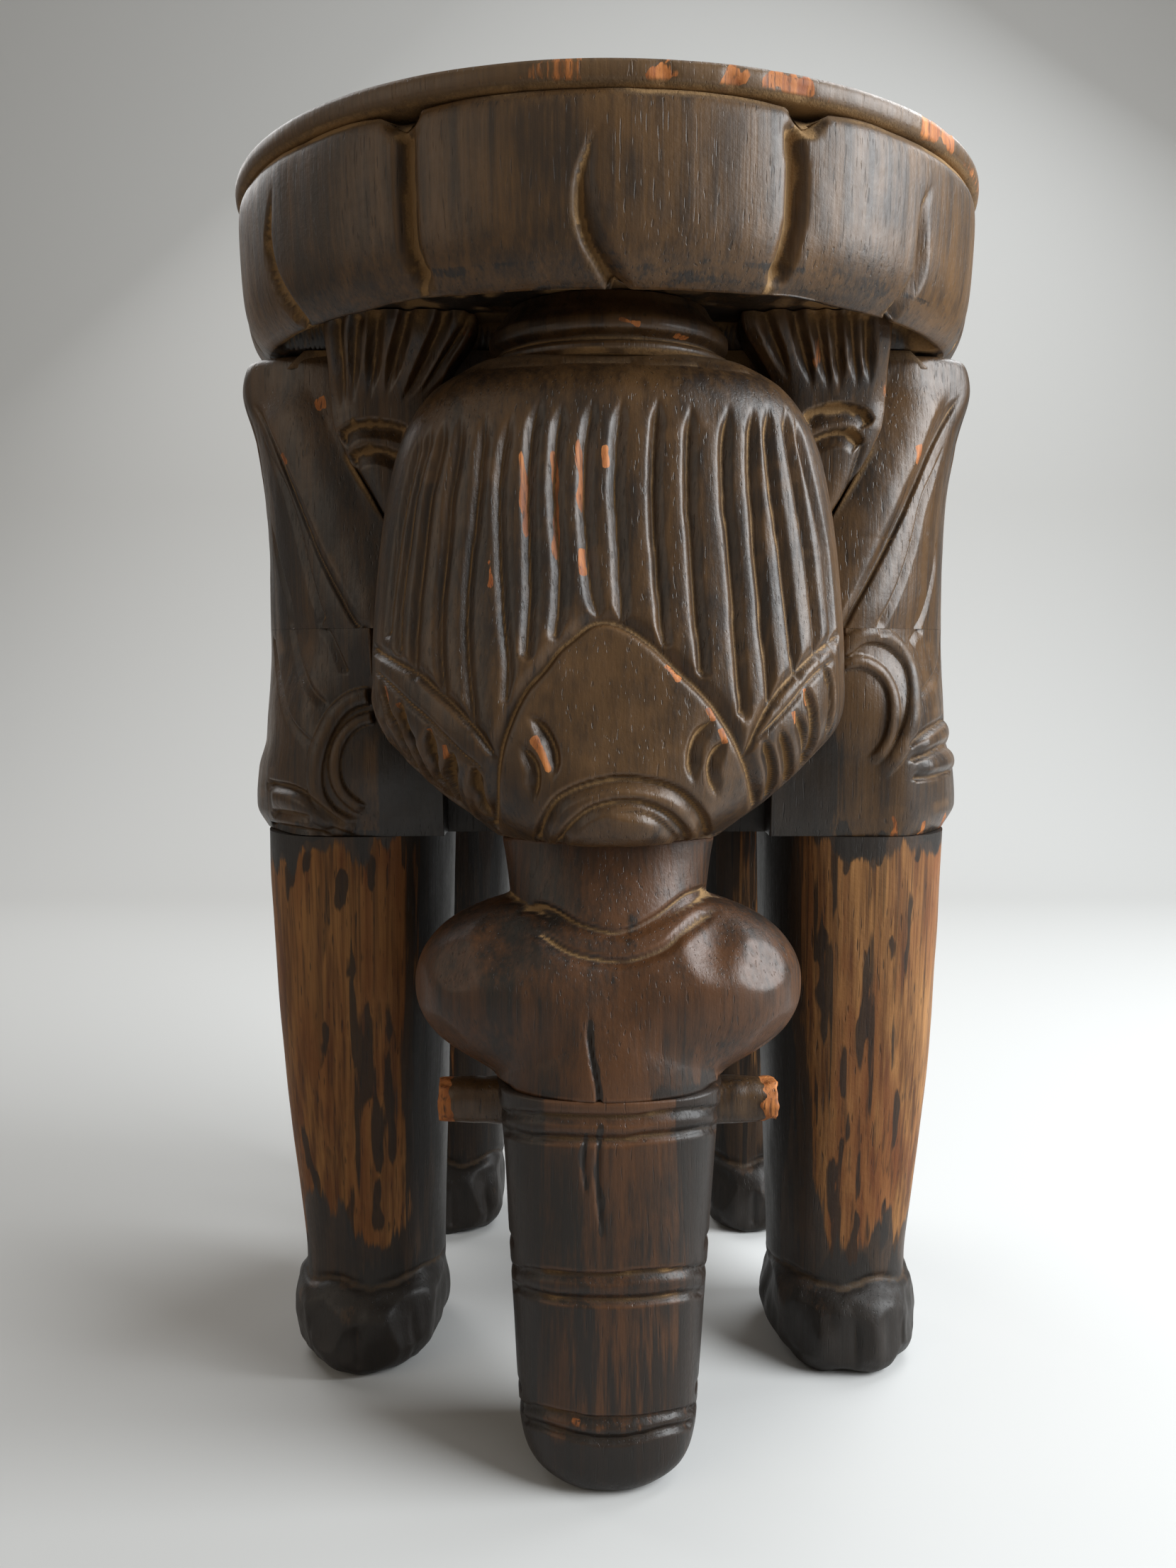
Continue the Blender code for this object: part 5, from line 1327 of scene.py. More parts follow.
TASSEL_RIGHT = {
    "flutes": (((1077, 437), (1090, 480), (1114, 540)), ((1121, 433), (1133, 490), (1147, 556)),
               ((1153, 441), (1161, 495), (1170, 558)), ((1180, 441), (1182, 495), (1186, 556)),
               ((1202, 441), (1206, 495), (1210, 552)), ((1224, 448), (1226, 500), (1228, 548))),
    "bows": (((1132, 590), (1150, 580), (1172, 575), (1200, 574), (1222, 582), (1230, 598)),
             ((1144, 624), (1160, 614), (1180, 609), (1204, 610), (1218, 628))),
    "drop": ((1216, 632), (1206, 665), (1192, 705), (1175, 750))}

TASSEL_RIM = (np.array([TASSEL_TOP - TASSEL_DROP * down for wide, down in TASSEL_EDGE[::-1]]),
              np.array([TASSEL_INNER + (TASSEL_OUTER - TASSEL_INNER) * wide
                        for wide, down in TASSEL_EDGE[::-1]]))


def make_tassel(hand, sign, strokes):
    """A fluted fan over two bows and a long drop, flat at its back."""
    rings = []
    for height in np.linspace(TASSEL_TOP + TASSEL_RISE, TASSEL_TOP - TASSEL_DROP, 104)[::-1]:
        share = max((TASSEL_TOP - height) / TASSEL_DROP, 0.0)
        edge = np.interp(share, [row[1] for row in TASSEL_EDGE], [row[0] for row in TASSEL_EDGE])
        outer = TASSEL_INNER + (TASSEL_OUTER - TASSEL_INNER) * edge + 0.9
        inner = TASSEL_INNER - TASSEL_FLARE * ramp(height, 368, 393)
        across = np.linspace(0, 1, 70)
        dome = 1 - 0.28 * np.abs(2 * across - 1) ** 4
        lean = TASSEL_LEAN * ramp(height, 362, 396)
        outline = np.stack((inner + (outer - inner) * across,
                            -HEAD_BACK - TASSEL_THICKNESS * dome - lean), 1)
        back = evenly([(outer, -HEAD_BACK), (inner, -HEAD_BACK)], 12)
        outline = np.vstack((outline, evenly([outline[-1], back[0]], 8)[1:-1], back,
                             evenly([back[-1], outline[0]], 8)[1:-1]))
        rings.append(sided(outline, sign, height))
    carving = Carving(skin(f"tassel_fan_{hand}", rings))
    carving.soften(ramp(324 - carving.points[:, 2], 0, 6), 8)
    carving.ripple(0.3, (7, 7, 12), 61 + sign)
    z = carving.points[:, 2]
    for line in strokes["flutes"]:
        path = carving.drawn(line)
        carving.cut(path, 3.4, 3.1, start=0.0, end=0.5, power=0.8)
        carving.tint("dust", path, 2.6, 0.8, 0.0, 0.9)
    for bow in strokes["bows"]:
        path = carving.drawn(bow)
        carving.cut(path, 3.2, 1.7, 5.5, start=0.05, end=0.05, power=0.9)
        carving.tint("dust", path, 2.6, 1.1)
    carving.cut(carving.drawn(strokes["drop"]), 1.4, 2.4, start=0.0, end=0.2)
    patch = carving.noise((8, 8, 14), 63 + sign)
    carving.wash("dust", 0.9 * ramp(z, 380, 394) * ramp(patch, -0.5, 0.5))
    # Painted shade on the inner part of the fan, deep in the recess beside the head.
    deep = ramp(66 - np.abs(carving.points[:, 0]), 0, 8)
    carving.wash("soot_and_shade", 0.42 * deep * ramp(-patch, -0.3, 0.4))
    carving.wash("bare", 0.42 * ramp(patch, 0.25, 0.7) * ramp(z, 360, 370))
    carving.finish(f"tassel_{hand}", DARK)


make_tassel("left", -1, TASSEL_LEFT)
make_tassel("right", 1, TASSEL_RIGHT)

# %% [markdown]
# ## Ears and shoulders
# Each ear is a thick slab that wraps the corner of the body. Its front is a smooth leaf-like
# face with a rounded rim, and veins fan over its side. Below it, the shoulder carries a
# scroll of two rings round a dark dome, and the hem of the saddle cloth rolls over the top
# of the leg. Both are the same kind of section: a flat front, a corner, and a side that runs
# back, so one function gives the sections of both.

# %% Corner sections
EAR_BOTTOM = 284.54
EAR_TOP = 379.0
EAR_REACH = 142.5
EAR_BACK = 47.0
EAR_INNER = 76.0
EAR_RISE = 6.5
EAR_RISE_FROM = 345.0
EAR_FOLD = 84.5
EAR_FRONT = 73.5
EAR_SIDE = 112.3
CORNER_FULL_SETBACK = 10.0
CORNER_BLUNTNESS = 0.62
ROLL_DEPTH = 9.0
ROLL_SHARE = 0.75
CORNER_COUNT = 300
EAR_ROWS = ((0.0, 0.612, 0.965, 0.942, 0.3, 0.99), (0.09, 0.64, 0.95, 0.941, 0.42, 0.99),
            (0.228, 0.69, 0.895, 0.940, 0.6, 0.98), (0.513, 0.793, 0.76, 0.945, 0.94, 0.94),
            (0.746, 0.884, 0.64, 0.962, 1.0, 0.9), (0.915, 0.954, 0.556, 0.990, 0.81, 0.86),
            (1.0, 0.93, 0.575, 0.972, 0.56, 0.86))
SHOULDER_REACH = 141.5
SHOULDER_FRONT = 69.0
SHOULDER_INNER = 60.0
SHIFT_ROUNDS = 40
SHOULDER_ROWS = ((0.0, 0.965, 0.96), (0.10, 0.995, 0.985), (0.30, 0.985, 1.0),
                 (0.45, 0.962, 0.995), (1.0, 0.950, 0.955))


def corner_outline(inner, inner_front, rim, side, back, softening, roll=0.0):
    """A section that wraps the body's front right corner, with a softened rim."""
    rim_x, rim_y = rim
    run = -CORNER_FULL_SETBACK - rim_y
    t = np.linspace(0, 1, 200)
    sunk = roll * (1 - np.sin(math.pi / 2 * np.minimum(t / ROLL_SHARE, 1.0)))
    front = np.stack((inner + (rim_x - inner) * t,
                      inner_front + (rim_y - inner_front) * t + sunk), 1)
    y = rim_y + (back - rim_y) * t ** 1.5
    turn = math.pi / 2 * np.minimum((y - rim_y) / run, 1.0)
    wrap = np.stack((rim_x + (side - rim_x) * np.sin(turn) ** CORNER_BLUNTNESS, y), 1)
    shown = evenly(np.vstack((front, wrap[1:])), CORNER_COUNT)
    shown = eased(shown, softening)
    hidden = [(EAR_SIDE, back), (EAR_SIDE, -HEAD_BACK), (inner, -HEAD_BACK)]
    return np.vstack((shown, evenly([(side, back), hidden[0]], 14)[1:-1],
                      evenly(hidden[:2], 8), evenly(hidden[1:], 8)[1:],
                      evenly([hidden[2], front[0]], 10)[1:-1]))


def banks(sign, gentle=3.4, steep=1.2):
    """The left and right banks of a stroke, mirrored from one side of the stool to the other."""
    return (gentle, steep) if sign < 0 else (steep, gentle)

# %% Ears
EAR_LEFT = {
    "rim": ((352, 566), (371, 592), (389, 630), (407, 674), (427, 726), (449, 782), (475, 834),
            (501, 882), (523, 908)),
    "ridge": ((362, 560), (384, 592), (403, 630), (421, 674), (441, 726), (464, 784), (492, 840)),
    "veins": (((359, 590), (381, 640), (402, 683), (418, 738), (439, 817), (461, 882), (491, 952)),
              ((382, 729), (396, 799), (410, 852), (416, 904), (435, 965), (465, 996)),
              ((387, 905), (395, 960), (405, 1009), (425, 1036), (448, 1048))),
    "chips": (((448, 560), (452, 568), (456, 578)), ((404, 640), (408, 648), (412, 658)))}
EAR_RIGHT = {
    "rim": ((1358, 556), (1343, 578), (1326, 608), (1312, 636), (1291, 685), (1265, 742),
            (1239, 794), (1204, 860), (1184, 905)),
    "ridge": ((1338, 535), (1323, 560), (1310, 580), (1300, 604), (1290, 634), (1270, 676),
              (1249, 724), (1222, 780), (1190, 836)),
    "veins": (((1334, 622), (1314, 672), (1301, 703), (1291, 751), (1276, 803), (1260, 842),
               (1234, 889)),
              ((1322, 752), (1317, 803), (1304, 860), (1284, 908)),
              ((1327, 891), (1325, 925), (1318, 955), (1293, 984))),
    "chips": (((1287, 629), (1291, 641), (1286, 656)),)}
SIDE_VEINS = (((-40, 372), (-18, 345), (2, 318), (14, 288)),
              ((-38, 366), (-28, 340), (-18, 312), (-12, 287)),
              ((-30, 374), (0, 358), (22, 335), (34, 310)),
              ((-20, 376), (10, 370), (30, 355), (42, 335)))
EAR_EDGE = ((16, 289), (24, 300), (36, 318), (42, 338), (40, 356), (30, 371))


def ear_section(height):
    """The ear's section at a height, on the right-hand side."""
    share = (height - EAR_BOTTOM) / (EAR_TOP - EAR_BOTTOM)
    rim_x, rim_y, side, back, inner_front = smooth_row(EAR_ROWS, share)
    drop = (TASSEL_TOP - height) / TASSEL_DROP
    tassel = np.interp(drop, [row[1] for row in TASSEL_EDGE],
                       [row[0] for row in TASSEL_EDGE], right=-9.0)
    inner = max(EAR_INNER, TASSEL_INNER + (TASSEL_OUTER - TASSEL_INNER) * tassel + 0.8)
    rim = (max(EAR_REACH * rim_x, inner + 0.3), -EAR_FRONT * rim_y)
    return corner_outline(inner, -EAR_FRONT * inner_front, rim, EAR_REACH * side,
                          EAR_BACK * back, int(20 + 70 * max(share, 0) ** 1.5),
                          ROLL_DEPTH * (0.4 + 0.6 * share))


def make_ear(hand, sign, strokes):
    """A thick leaf that wraps the body's corner, with a raised ridge and fanning veins."""
    rings = []
    for height in np.linspace(EAR_BOTTOM, EAR_TOP, 130):
        rise = EAR_RISE * (max(height - EAR_RISE_FROM, 0) / (EAR_TOP - EAR_RISE_FROM)) ** 1.4
        rings.append(sided(ear_section(height), sign, height + rise - SEAM * (height == EAR_BOTTOM)))
    highest = rings[-1]
    middle = highest.mean(axis=0)
    rings += [middle + (highest - middle) * (1 - 0.9 * step / 11) for step in range(1, 12)]
    carving = Carving(skin(f"ear_{hand}_leaf", rings))
    shown = ramp(np.hypot(*carving.points[:, :2].T), 96, 104)
    carving.soften(ramp(carving.points[:, 2], 364, 378) * shown, 45)
    carving.ripple(0.45, (18, 16, 26), 71 + sign)
    carving.ripple(0.14, (5, 5, 9), 73 + sign)
    left, right = banks(sign)
    carving.cut(carving.drawn(strokes["rim"]), 1.6, left, right, start=0.1, end=0.0)
    ridge = carving.drawn(strokes["ridge"], 12)
    carving.cord(ridge, 2.9, *banks(sign, 19.0, 4.6), start=0.2, end=0.4, power=1.3)
    carving.tint("worn_and_highlight", ridge, 3.0, 0.9)
    for pixels in strokes["chips"]:
        carving.tint("bare", carving.drawn(pixels, 2), 2.4, 1.25, 0.1, 0.1)
    carving.cut_drawn(strokes["veins"], 1.5, right, left, start=0.3, end=0.05)
    for vein in SIDE_VEINS:
        path = carving.placed([(sign * (EAR_REACH - 2), *place) for place in vein])
        carving.cut(path, 2.0, left, right, start=0.2, end=0.1)
    edge = carving.placed([(sign * 140, *place) for place in EAR_EDGE])
    carving.cut(edge, 1.4, right, left)
    across = np.abs(carving.points[:, 0])
    z = carving.points[:, 2]
    carving.wash("dust", 0.9 * ramp(z, 380.0, 384.5) * ramp(124 - across, 0, 20))
    beside_tassel = ramp(np.interp(z, *TASSEL_RIM) + 4.5 - across, 0, 3.5)
    carving.wash("dust", 0.85 * beside_tassel * ramp(z, 312, 330)
                 * ramp(carving.noise((8, 8, 12), 77 + sign), -0.6, 0.3))
    carving.wash("bare", 0.32 * (across > EAR_SIDE + 2)
                 * ramp(carving.noise((12, 12, 30), 75 + sign), 0.45, 0.85))
    carving.finish(f"ear_{hand}", DARK)


make_ear("left", -1, EAR_LEFT)
make_ear("right", 1, EAR_RIGHT)

# %% Shoulders
SHOULDER_LEFT = {
    "outer": ((527, 981), (505, 984), (488, 992), (466, 1018), (450, 1059), (445, 1104),
              (456, 1136), (476, 1156), (511, 1168)),
    "inner": ((531, 1010), (508, 1016), (493, 1027), (477, 1054), (473, 1090), (486, 1122),
              (520, 1146)),
    "dome": (-92.0, -69.0, 236.0),
    "hems": (((380, 1104), (400, 1107), (421, 1113), (448, 1131), (470, 1150), (498, 1166)),
             ((386, 1145), (415, 1146), (445, 1152)),
             ((385, 1163), (430, 1170), (470, 1178))),
    "folds": (((382, 1125), (405, 1127), (432, 1138), (462, 1153)),),
    "bare": (),
    "hem_heights": (224.0, 213.0)}
SHOULDER_RIGHT = {
    "outer": ((1182, 922), (1205, 900), (1232, 893), (1264, 909), (1286, 950), (1287, 1013),
              (1272, 1055), (1252, 1080), (1238, 1092)),
    "inner": ((1184, 938), (1202, 931), (1220, 933), (1250, 959), (1261, 1004), (1250, 1054),
              (1226, 1078)),
    "dome": (91.0, -69.0, 257.0),
    "hems": (((1286, 1050), (1315, 1030), (1345, 1013)),
             ((1291, 1072), (1312, 1062), (1334, 1050)),
             ((1295, 1099), (1320, 1096), (1343, 1088))),
    "folds": (((1290, 1061), (1314, 1046), (1342, 1032)), ((1295, 1087), (1318, 1079), (1341, 1069))),
    "bare": (((1258, 1138), (1261, 1160), (1262, 1190)), ((1303, 1150), (1302, 1168), (1300, 1190)),
             ((1333, 1128), (1332, 1156), (1329, 1190))),
    "hem_heights": (249.0, 236.0)}
HEM_FALL = ((-30, -1), (-16, 0), (-3, -2), (13, -6))


def shoulder_rings(sign):
    """Rings from the leg's top up to the ear, into whose lowest section they flow."""
    rings = []
    bottom = BELLY + GAP
    top = EAR_BOTTOM - GAP + SEAM
    above = ear_section(EAR_BOTTOM)
    for share in np.linspace(0.0, 1.0, 120):
        side, front = smooth_row(SHOULDER_ROWS, share)
        rim = (SHOULDER_INNER + (EAR_SIDE - SHOULDER_INNER) * 0.92, -SHOULDER_FRONT * front)
        outline = corner_outline(SHOULDER_INNER, -SHOULDER_FRONT * front, rim,
                                 SHOULDER_REACH * side, EAR_BACK * 0.3, 50)
        outer = outline[:, 0] > EAR_FOLD
        apart = ((outline[outer][:, None] - above[None]) ** 2).sum(2)
        shift = eased(above[apart.argmin(1)] - outline[outer], SHIFT_ROUNDS)
        outline[outer] += ramp(share, 0.55, 1.0) * shift
        rings.append(sided(outline, sign, bottom + (top - bottom) * share))
    return rings


def make_shoulder(hand, sign, strokes):
    """A scroll of two rings round a dome, and the cloth's hem over the top of the leg."""
    carving = Carving(skin(f"shoulder_{hand}_scroll", shoulder_rings(sign)))
    carving.ripple(0.45, (18, 16, 26), 71 + sign)
    carving.ripple(0.14, (5, 5, 9), 73 + sign)
    carving.swell(strokes["dome"], (24, 17, 24), 3.0)
    left, right = banks(sign)
    veins = (EAR_LEFT if sign < 0 else EAR_RIGHT)["veins"]
    carving.cut_drawn(veins, 1.5, right, left, start=0.0, end=0.1)
    for name, height, width in (("outer", 2.6, 3.3), ("inner", 2.0, 2.4)):
        path = carving.drawn(strokes[name], 14)
        carving.cord(path, height, width, start=0.04, end=0.12)
        carving.tint("dust", path, width + 2.4, 0.35)
        carving.tint("worn_and_highlight", path, 1.6, 0.8)
    for fold in strokes["folds"]:
        carving.cord(carving.drawn(fold), 2.0, 4.5, start=0.2, end=0.0, power=0.8)
    carving.cut_drawn(strokes["hems"], 2.3, right, left, start=0.0, end=0.15)
    for height in strokes["hem_heights"]:
        path = carving.placed([(sign * SHOULDER_REACH * 0.97, back, height + rise)
                               for back, rise in HEM_FALL])
        carving.cut(path, 2.0, left, right, start=0.1, end=0.0)
    x, y, z = carving.points.T
    flame = carving.noise((5, 5, 30), 85 + sign)
    outer = ramp(np.abs(x), 96, 112) * ramp(-y, -5, 20)
    carving.wash("worn_and_highlight", outer * ramp(carving.noise((9, 9, 5), 87 + sign), 0.0, 0.8))
    carving.wash("soot_and_shade", 0.55 * ramp(213 - z + 5 * flame, 0, 4))
    # Painted shade on the lower inner part, in the recess between the head, the ear and the leg.
    carving.wash("soot_and_shade", 0.9 * ramp(93 - np.abs(x), 0, 16) * ramp(266 - z, 0, 30))
    for pixels in strokes["bare"]:
        carving.tint("bare", carving.drawn(pixels, 2), 3.0, 0.9, 0.5, 0.0)
    carving.finish(f"shoulder_{hand}", DARK, dust=0.6)


make_shoulder("left", -1, SHOULDER_LEFT)
make_shoulder("right", 1, SHOULDER_RIGHT)

# %% [markdown]
# ## Legs
# The legs are plain posts that swell a little towards the body and end in small feet with
# blunt toes. The stain has worn off the front ones in long flames, down to orange wood, and
# stays black on their inner sides and in streaks. The feet have kept all of it.

# %% Legs
LEG_TOP = 207.7
LEG_ROWS = ((0.0, 0.60, 0.80, 0.19, -0.06), (0.018, 0.74, 0.92, 0.17, -0.04),
            (0.06, 0.845, 0.985, 0.16, -0.04), (0.10, 0.855, 0.975, 0.14, -0.04),
            (0.135, 0.82, 0.90, 0.10, -0.05), (0.165, 0.765, 0.80, 0.02, -0.07),
            (0.24, 0.785, 0.815, 0.0, -0.06), (0.54, 0.91, 0.91, 0.0, -0.01),
            (0.80, 0.97, 0.97, 0.0, 0.0), (1.0, 1.0, 1.0, 0.0, 0.0))
FRONT_LEG = (95.5, -31.0, 35.5, 37.0)
REAR_LEG = (72.0, 82.0, 28.0, 28.0)
TOE_TURNS = (-62, -22, 20, 60)
FOOT_TURNS = (-128, -82, -40, -6, 31, 66, 104, 146)
TOE_GROOVE = ((24, 0.78, 0.86), (15, 0.85, 0.98), (4, 0.8, 0.9))
REAR_WEAR = 0.45
LEG_STREAKS = {
    "left": (((554, 1343), (549, 1465), (552, 1587), (557, 1740)), ((437, 1185), (435, 1215), (433, 1248)),
             ((479, 1185), (483, 1250), (472, 1305)), ((521, 1185), (524, 1230), (527, 1282)),
             ((494, 1330), (495, 1360), (494, 1392)), ((582, 1340), (588, 1542), (583, 1720)),
             ((416, 1545), (436, 1633), (464, 1740)), ((529, 1640), (533, 1700), (538, 1770)),
             ((403, 1200), (405, 1240), (408, 1290)), ((458, 1420), (460, 1460), (457, 1510))),
    "right": (((1163, 1185), (1159, 1364), (1167, 1558)), ((1227, 1289), (1223, 1386), (1208, 1565)),
              ((1297, 1162), (1295, 1190), (1293, 1226)), ((1280, 1215), (1283, 1289), (1270, 1423)),
              ((1258, 1306), (1259, 1340), (1257, 1375)), ((1266, 1505), (1264, 1587), (1257, 1655)),
              ((1252, 1670), (1247, 1730), (1243, 1790)), ((1210, 1685), (1204, 1740), (1198, 1795)),
              ((1197, 1180), (1194, 1215), (1192, 1250)), ((1243, 1180), (1242, 1200), (1240, 1232)),
              ((1180, 1600), (1176, 1680), (1172, 1760)))}


def leg_rings(sign, size, rows=190):
    """Rings of an upright post that ends in a small foot with its toes ahead."""
    side, setback, half_width, half_depth = size
    rings = []
    for index in range(rows):
        share = (index / (rows - 1)) ** 1.08
        width, depth, ahead, aside = smooth_row(LEG_ROWS, share)
        middle = setback - half_depth * ahead
        outline = oval(middle - half_depth * depth, middle + half_depth * depth,
                       half_width * width, 2.4, side + half_width * aside)
        rings.append(sided(closed_evenly(outline, 230), sign, (LEG_TOP + 3 * SEAM) * share))
    return closing_rings(rings[0], 7, 0.05)[::-1] + rings


def carve_toes(carving, sign, size):
    """Blunt toes with grooves between them, and a crease round the ankle."""
    side, setback, half_width, half_depth = size
    for toe in TOE_TURNS:
        bend = math.radians(toe)
        carving.swell((sign * (side + half_width * 0.72 * math.sin(bend)),
                       setback - half_depth * (0.16 + 0.86 * math.cos(bend)), 15.0),
                      (12, 12, 15), 0.6)
    for before, after in zip(TOE_TURNS, TOE_TURNS[1:]):
        bend = math.radians((before + after) / 2)
        line = [(sign * (side + half_width * wide * math.sin(bend)),
                 setback - half_depth * (0.14 + deep * math.cos(bend)), height)
                for height, wide, deep in TOE_GROOVE]
        carving.cut(carving.placed(line), 0.8, 2.6, start=0.4, end=0.1)
    ankle = [(sign * (side + half_width * 0.80 * math.sin(bend)),
              setback - half_depth * (0.02 + 0.86 * math.cos(bend)), 33.5 + 2 * math.sin(5 * bend))
             for bend in np.radians(np.linspace(-100, 100, 12))]
    path = carving.placed(ankle)
    carving.cut(path, 1.6, 2.6, start=0.1, end=0.1)
    carving.tint("dust", path, 2.4, 0.2)


def make_leg(row, hand, sign, size, seed):
    """A leg whose stain has worn off in flames, and less so at the back of the stool."""
    carving = Carving(skin(f"leg_{row}_{hand}_post", leg_rings(sign, size)))
    x, y, z = carving.points.T
    centre = np.array((sign * size[0], size[1] - 0.1 * size[3]))
    turn = np.degrees(np.arctan2((x - centre[0]) * sign, -(y - centre[1])))
    carving.ripple(0.5, (15, 15, 40), seed)
    carving.ripple(0.20, (6, 6, 18), seed + 1)
    foot = ramp(33 - z, 0, 5)
    carving.lumps += foot * (1.6 * carving.noise((13, 13, 13), seed + 2) - 0.6
                             + 0.6 * carving.noise((5, 5, 8), seed + 6))
    for bend in np.radians(FOOT_TURNS):
        tilt = 0.10 + 0.16 * math.sin(5 * bend + seed)
        carving.shave((sign * math.sin(bend), -math.cos(bend), tilt), 2.2, foot)
    carving.soften(0.7 * foot, 2)
    carve_toes(carving, sign, size)
    flame = carving.noise((9, 9, 60), seed + 3) + 0.6 * carving.noise((4, 4, 40), seed + 4)
    shown = 1.0 if row == "front" else REAR_WEAR
    outer = ramp(turn + 10 * flame, -58, -18) * ramp(170 - turn, 0, 50)
    upper = ramp(211 - z + 12 * flame, 0, 16)
    lower = ramp(z - 41 + 22 * flame, 0, 26)
    carving.wash("bare", shown * (0.04 + 0.76 * outer) * upper * lower)
    veins = np.maximum(ramp(carving.noise((2.4, 2.4, 38), seed + 8), 0.36, 0.60),
                       ramp(carving.noise((5, 5, 60), seed + 9), 0.42, 0.66))
    black = np.maximum(ramp(-turn - 42 + 14 * flame, 0, 22) * (turn > -160),
                       ramp(50 - z + 18 * flame, 0, 20))
    black = np.maximum(black, 0.80 * veins * ramp(70 - turn, 0, 80))
    black = np.maximum(black, ramp(z - 203 - 22 * flame, 0, 7))
    carving.wash("soot_and_shade", 0.80 * black)
    for pixels in LEG_STREAKS[hand] if row == "front" else ():
        carving.tint("soot_and_shade", carving.drawn(pixels, 3), 3.0, 1.0, 0.4, 0.4)
    carving.finish(f"leg_{row}_{hand}", WORN, dust=0.35, worn_and_highlight=0.4)


for hand, sign in (("left", -1), ("right", 1)):
    make_leg("front", hand, sign, FRONT_LEG, 91 + 10 * sign)
    make_leg("rear", hand, sign, REAR_LEG, 121 + 10 * sign)

# %% [markdown]
# ## Body and tail
# Behind the head the body is a plain barrel under the saddle cloth. The cloth's rolled hem
# runs round the belly in two lines, and a few long soft folds fall over the flanks. The tail
# lies in relief down the rump, with a tuft at its end.

# %% Body
BODY_RADIUS = 140.0
BODY_REAR = 131.0
BODY_TOP = 385.7
BODY_ROWS = ((0.0, 0.975), (0.04, 0.995), (0.10, 0.995), (0.17, 0.965), (0.40, 0.957),
             (0.90, 0.950), (0.965, 0.915), (1.0, 0.875))
POCKET_SIDE = 112.0
HEM_RADIUS = 137
BODY_HEMS = ((231.0, 1.9), (216.5, 1.6))
FOLD_TURNS = (98, 122, 147, 213, 238, 262)
BODY_CHECKS = ((112, 250, 340), (158, 262, 384), (161, 236, 300), (196, 300, 384), (221, 244, 352),
               (252, 280, 380))


def ear_back(height):
    """Where the ear or the shoulder ends towards the back, at a height."""
    share = (height - EAR_BOTTOM) / (EAR_TOP - EAR_BOTTOM)
    return EAR_BACK * smooth_row(EAR_ROWS, min(max(share, 0.0), 1.0))[3]


def body_rings():
    """Rings of a barrel, flat in front and behind, cut in where the ears stand."""
    rings = []
    for share in np.linspace(0.0, 1.0, 170):
        radius = BODY_RADIUS * smooth_row(BODY_ROWS, share)[0]
        height = BELLY + (BODY_TOP - BELLY) * share
        outline = oval(-radius, radius, radius)
        outline[:, 1] = np.clip(outline[:, 1], -BODY_FRONT, BODY_REAR)
        if height < EAR_TOP + GAP:
            back = ear_back(height) + GAP
            pocket = (outline[:, 1] < back) & (np.abs(outline[:, 0]) > POCKET_SIDE)
            outline[pocket, 0] = np.sign(outline[pocket, 0]) * POCKET_SIDE
        rings.append(at_height(closed_evenly(outline, 520), height))
    return rings


def make_body():
    """The barrel under its saddle cloth, with soft folds, two hems and drying checks."""
    carving = Carving(skin("body_barrel", body_rings()))
    x, y, z = carving.points.T
    outside = ramp(np.hypot(x, y), 118, 126) * ramp(y, 4, 20)
    turn = np.degrees(np.arctan2(x, -y)) % 360
    carving.lumps += outside * 0.9 * carving.noise((20, 20, 36), 141)
    carving.lumps += outside * 0.3 * carving.noise((7, 7, 12), 142)
    for fold in FOLD_TURNS:
        sway = fold + 5 * np.sin((z - 220) / 42.0)
        apart = (turn - sway + 180) % 360 - 180
        valley = 1.3 * outside * np.exp(-(apart / 2.2) ** 2)
        carving.lumps -= valley * ramp(z, 232, 260) * ramp(372 - z, 0, 60)
    for height, depth in BODY_HEMS:
        line = [(HEM_RADIUS * math.sin(bend), min(-HEM_RADIUS * math.cos(bend), BODY_REAR),
                 height + 1.2 * math.sin(4 * bend)) for bend in np.radians(np.arange(97, 264, 6))]
        carving.cut(carving.placed(line), depth, 1.4, 3.6, start=0.0, end=0.0)
    for check, low, high in BODY_CHECKS:
        sway = np.radians(check) + 0.02 * np.sin(z / 9.0 + check)
        apart = np.abs(np.radians(turn) * BODY_RADIUS - sway * BODY_RADIUS)
        length = ramp(z, low, low + 26) * ramp(high - z, 0, 34)
        carving.cuts -= 1.6 * outside * length * np.clip(1 - apart / (0.5 + 1.1 * length), 0, 1)
    carving.wash("dust", 0.5 * outside * ramp(z, 381, 385))
    carving.wash("bare", 0.40 * outside * ramp(carving.noise((16, 16, 30), 145), 0.62, 0.85))
    rub = carving.noise((30, 30, 40), 147) + 0.6 * carving.noise((7, 7, 18), 148)
    carving.wash("worn_and_highlight", outside * np.clip(0.15 + 0.7 * rub, 0, 1))
    front = ramp(-y, BODY_FRONT - 1.5, BODY_FRONT - 0.5)
    carving.wash("dust", front * ramp(z, 330, 372) * ramp(carving.noise((9, 9, 9), 146), -0.7, 0.5))
    # Painted shade on the lower front, behind the head and ears, and along the belly's underside.
    carving.wash("soot_and_shade", 0.8 * front * ramp(330 - z, 0, 30) + 0.5 * ramp(BELLY + 2 - z, 0, 1.5))
    carving.finish("body", DARK)


make_body()

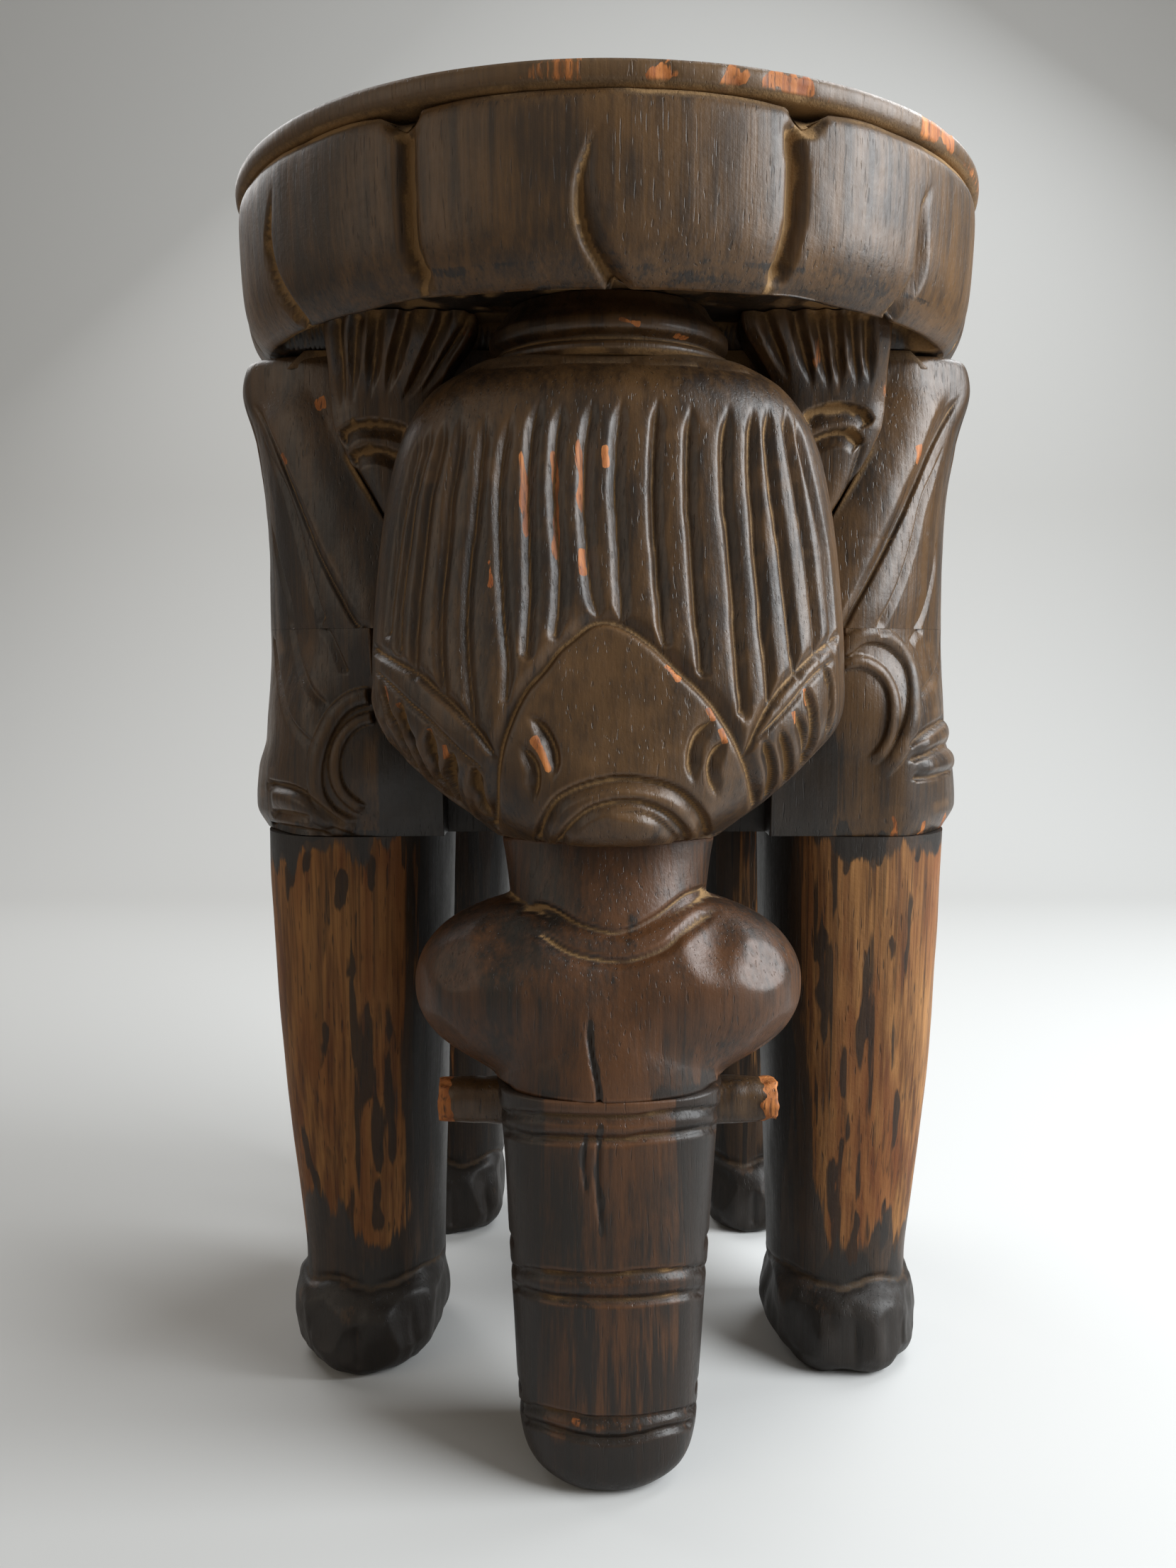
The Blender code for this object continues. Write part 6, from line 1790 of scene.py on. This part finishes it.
# %% Tail
TAIL_TOP = 334.9
TAIL_BOTTOM = 172.0
TAIL_HALF_WIDTH = 9.5
TAIL_THICKNESS = 11.5
TAIL_ROWS = ((0.0, 0.28, 0.30), (0.05, 0.75, 0.75), (0.15, 1.0, 1.0), (0.25, 0.62, 0.80),
             (0.32, 0.44, 0.66), (0.70, 0.52, 0.76), (0.95, 0.72, 0.82), (1.0, 0.60, 0.60))
TUFT_LINES = (-5.5, -2.6, 0.4, 3.2, 6.0)


def make_tail():
    """A slim tail in relief, with a grooved tuft at its end."""
    rings = []
    seat = BODY_REAR + GAP
    for share in np.linspace(0.0, 1.0, 150):
        width, thick = smooth_row(TAIL_ROWS, share)
        outline = oval(seat - TAIL_THICKNESS * thick, seat + TAIL_THICKNESS * thick,
                       TAIL_HALF_WIDTH * width)
        outline[:, 1] = np.maximum(outline[:, 1], seat)
        rings.append(at_height(closed_evenly(outline, 120),
                               TAIL_BOTTOM + (TAIL_TOP - TAIL_BOTTOM) * share))
    carving = Carving(skin("tail_and_tuft", rings))
    carving.ripple(0.3, (8, 8, 18), 151)
    for side in TUFT_LINES:
        line = [(side * spread, seat + 10, height) for height, spread in
                ((212, 0.5), (200, 0.9), (188, 0.95), (178, 0.6))]
        carving.cut(carving.placed(line), 1.2, 1.3, start=0.3, end=0.1)
    carving.finish("tail", DARK)


make_tail()

# %% [markdown]
# ## Dowels
# The dowels are plain turned pins, hidden in their holes. The frame's own solids have the
# right shape, so they only get a finish of bare pale wood.

# %% Dowels
def dowel_wood():
    """Pale bare wood with fine upright fibres."""
    material, tree, shader = new_material("dowel_wood")
    place = make_node(tree, "ShaderNodeTexCoord", output="Object")
    fibre = place.make("ShaderNodeTexNoise", None,
                       {"Vector": place * (1.0, 1.0, 0.06), "Scale": 500.0, "Detail": 4.0})
    plug(shader.inputs["Base Color"],
         plain(tree, (0.42, 0.27, 0.14)).mix((0.66, 0.47, 0.28), fibre.between(0.3, 0.7)))
    plug(shader.inputs["Roughness"], fibre * 0.2 + 0.55)
    bump = place.make("ShaderNodeBump", None, {"Strength": 0.2, "Distance": 0.0004,
                                               "Height": fibre}, output="Normal")
    plug(shader.inputs["Normal"], bump)
    return material


DOWEL = dowel_wood()
dowels = [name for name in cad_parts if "dowel" in name]
for name in dowels:
    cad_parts[name].data.materials.clear()
    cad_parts[name].data.materials.append(DOWEL)
print(len(dowels), "dowels in bare wood")
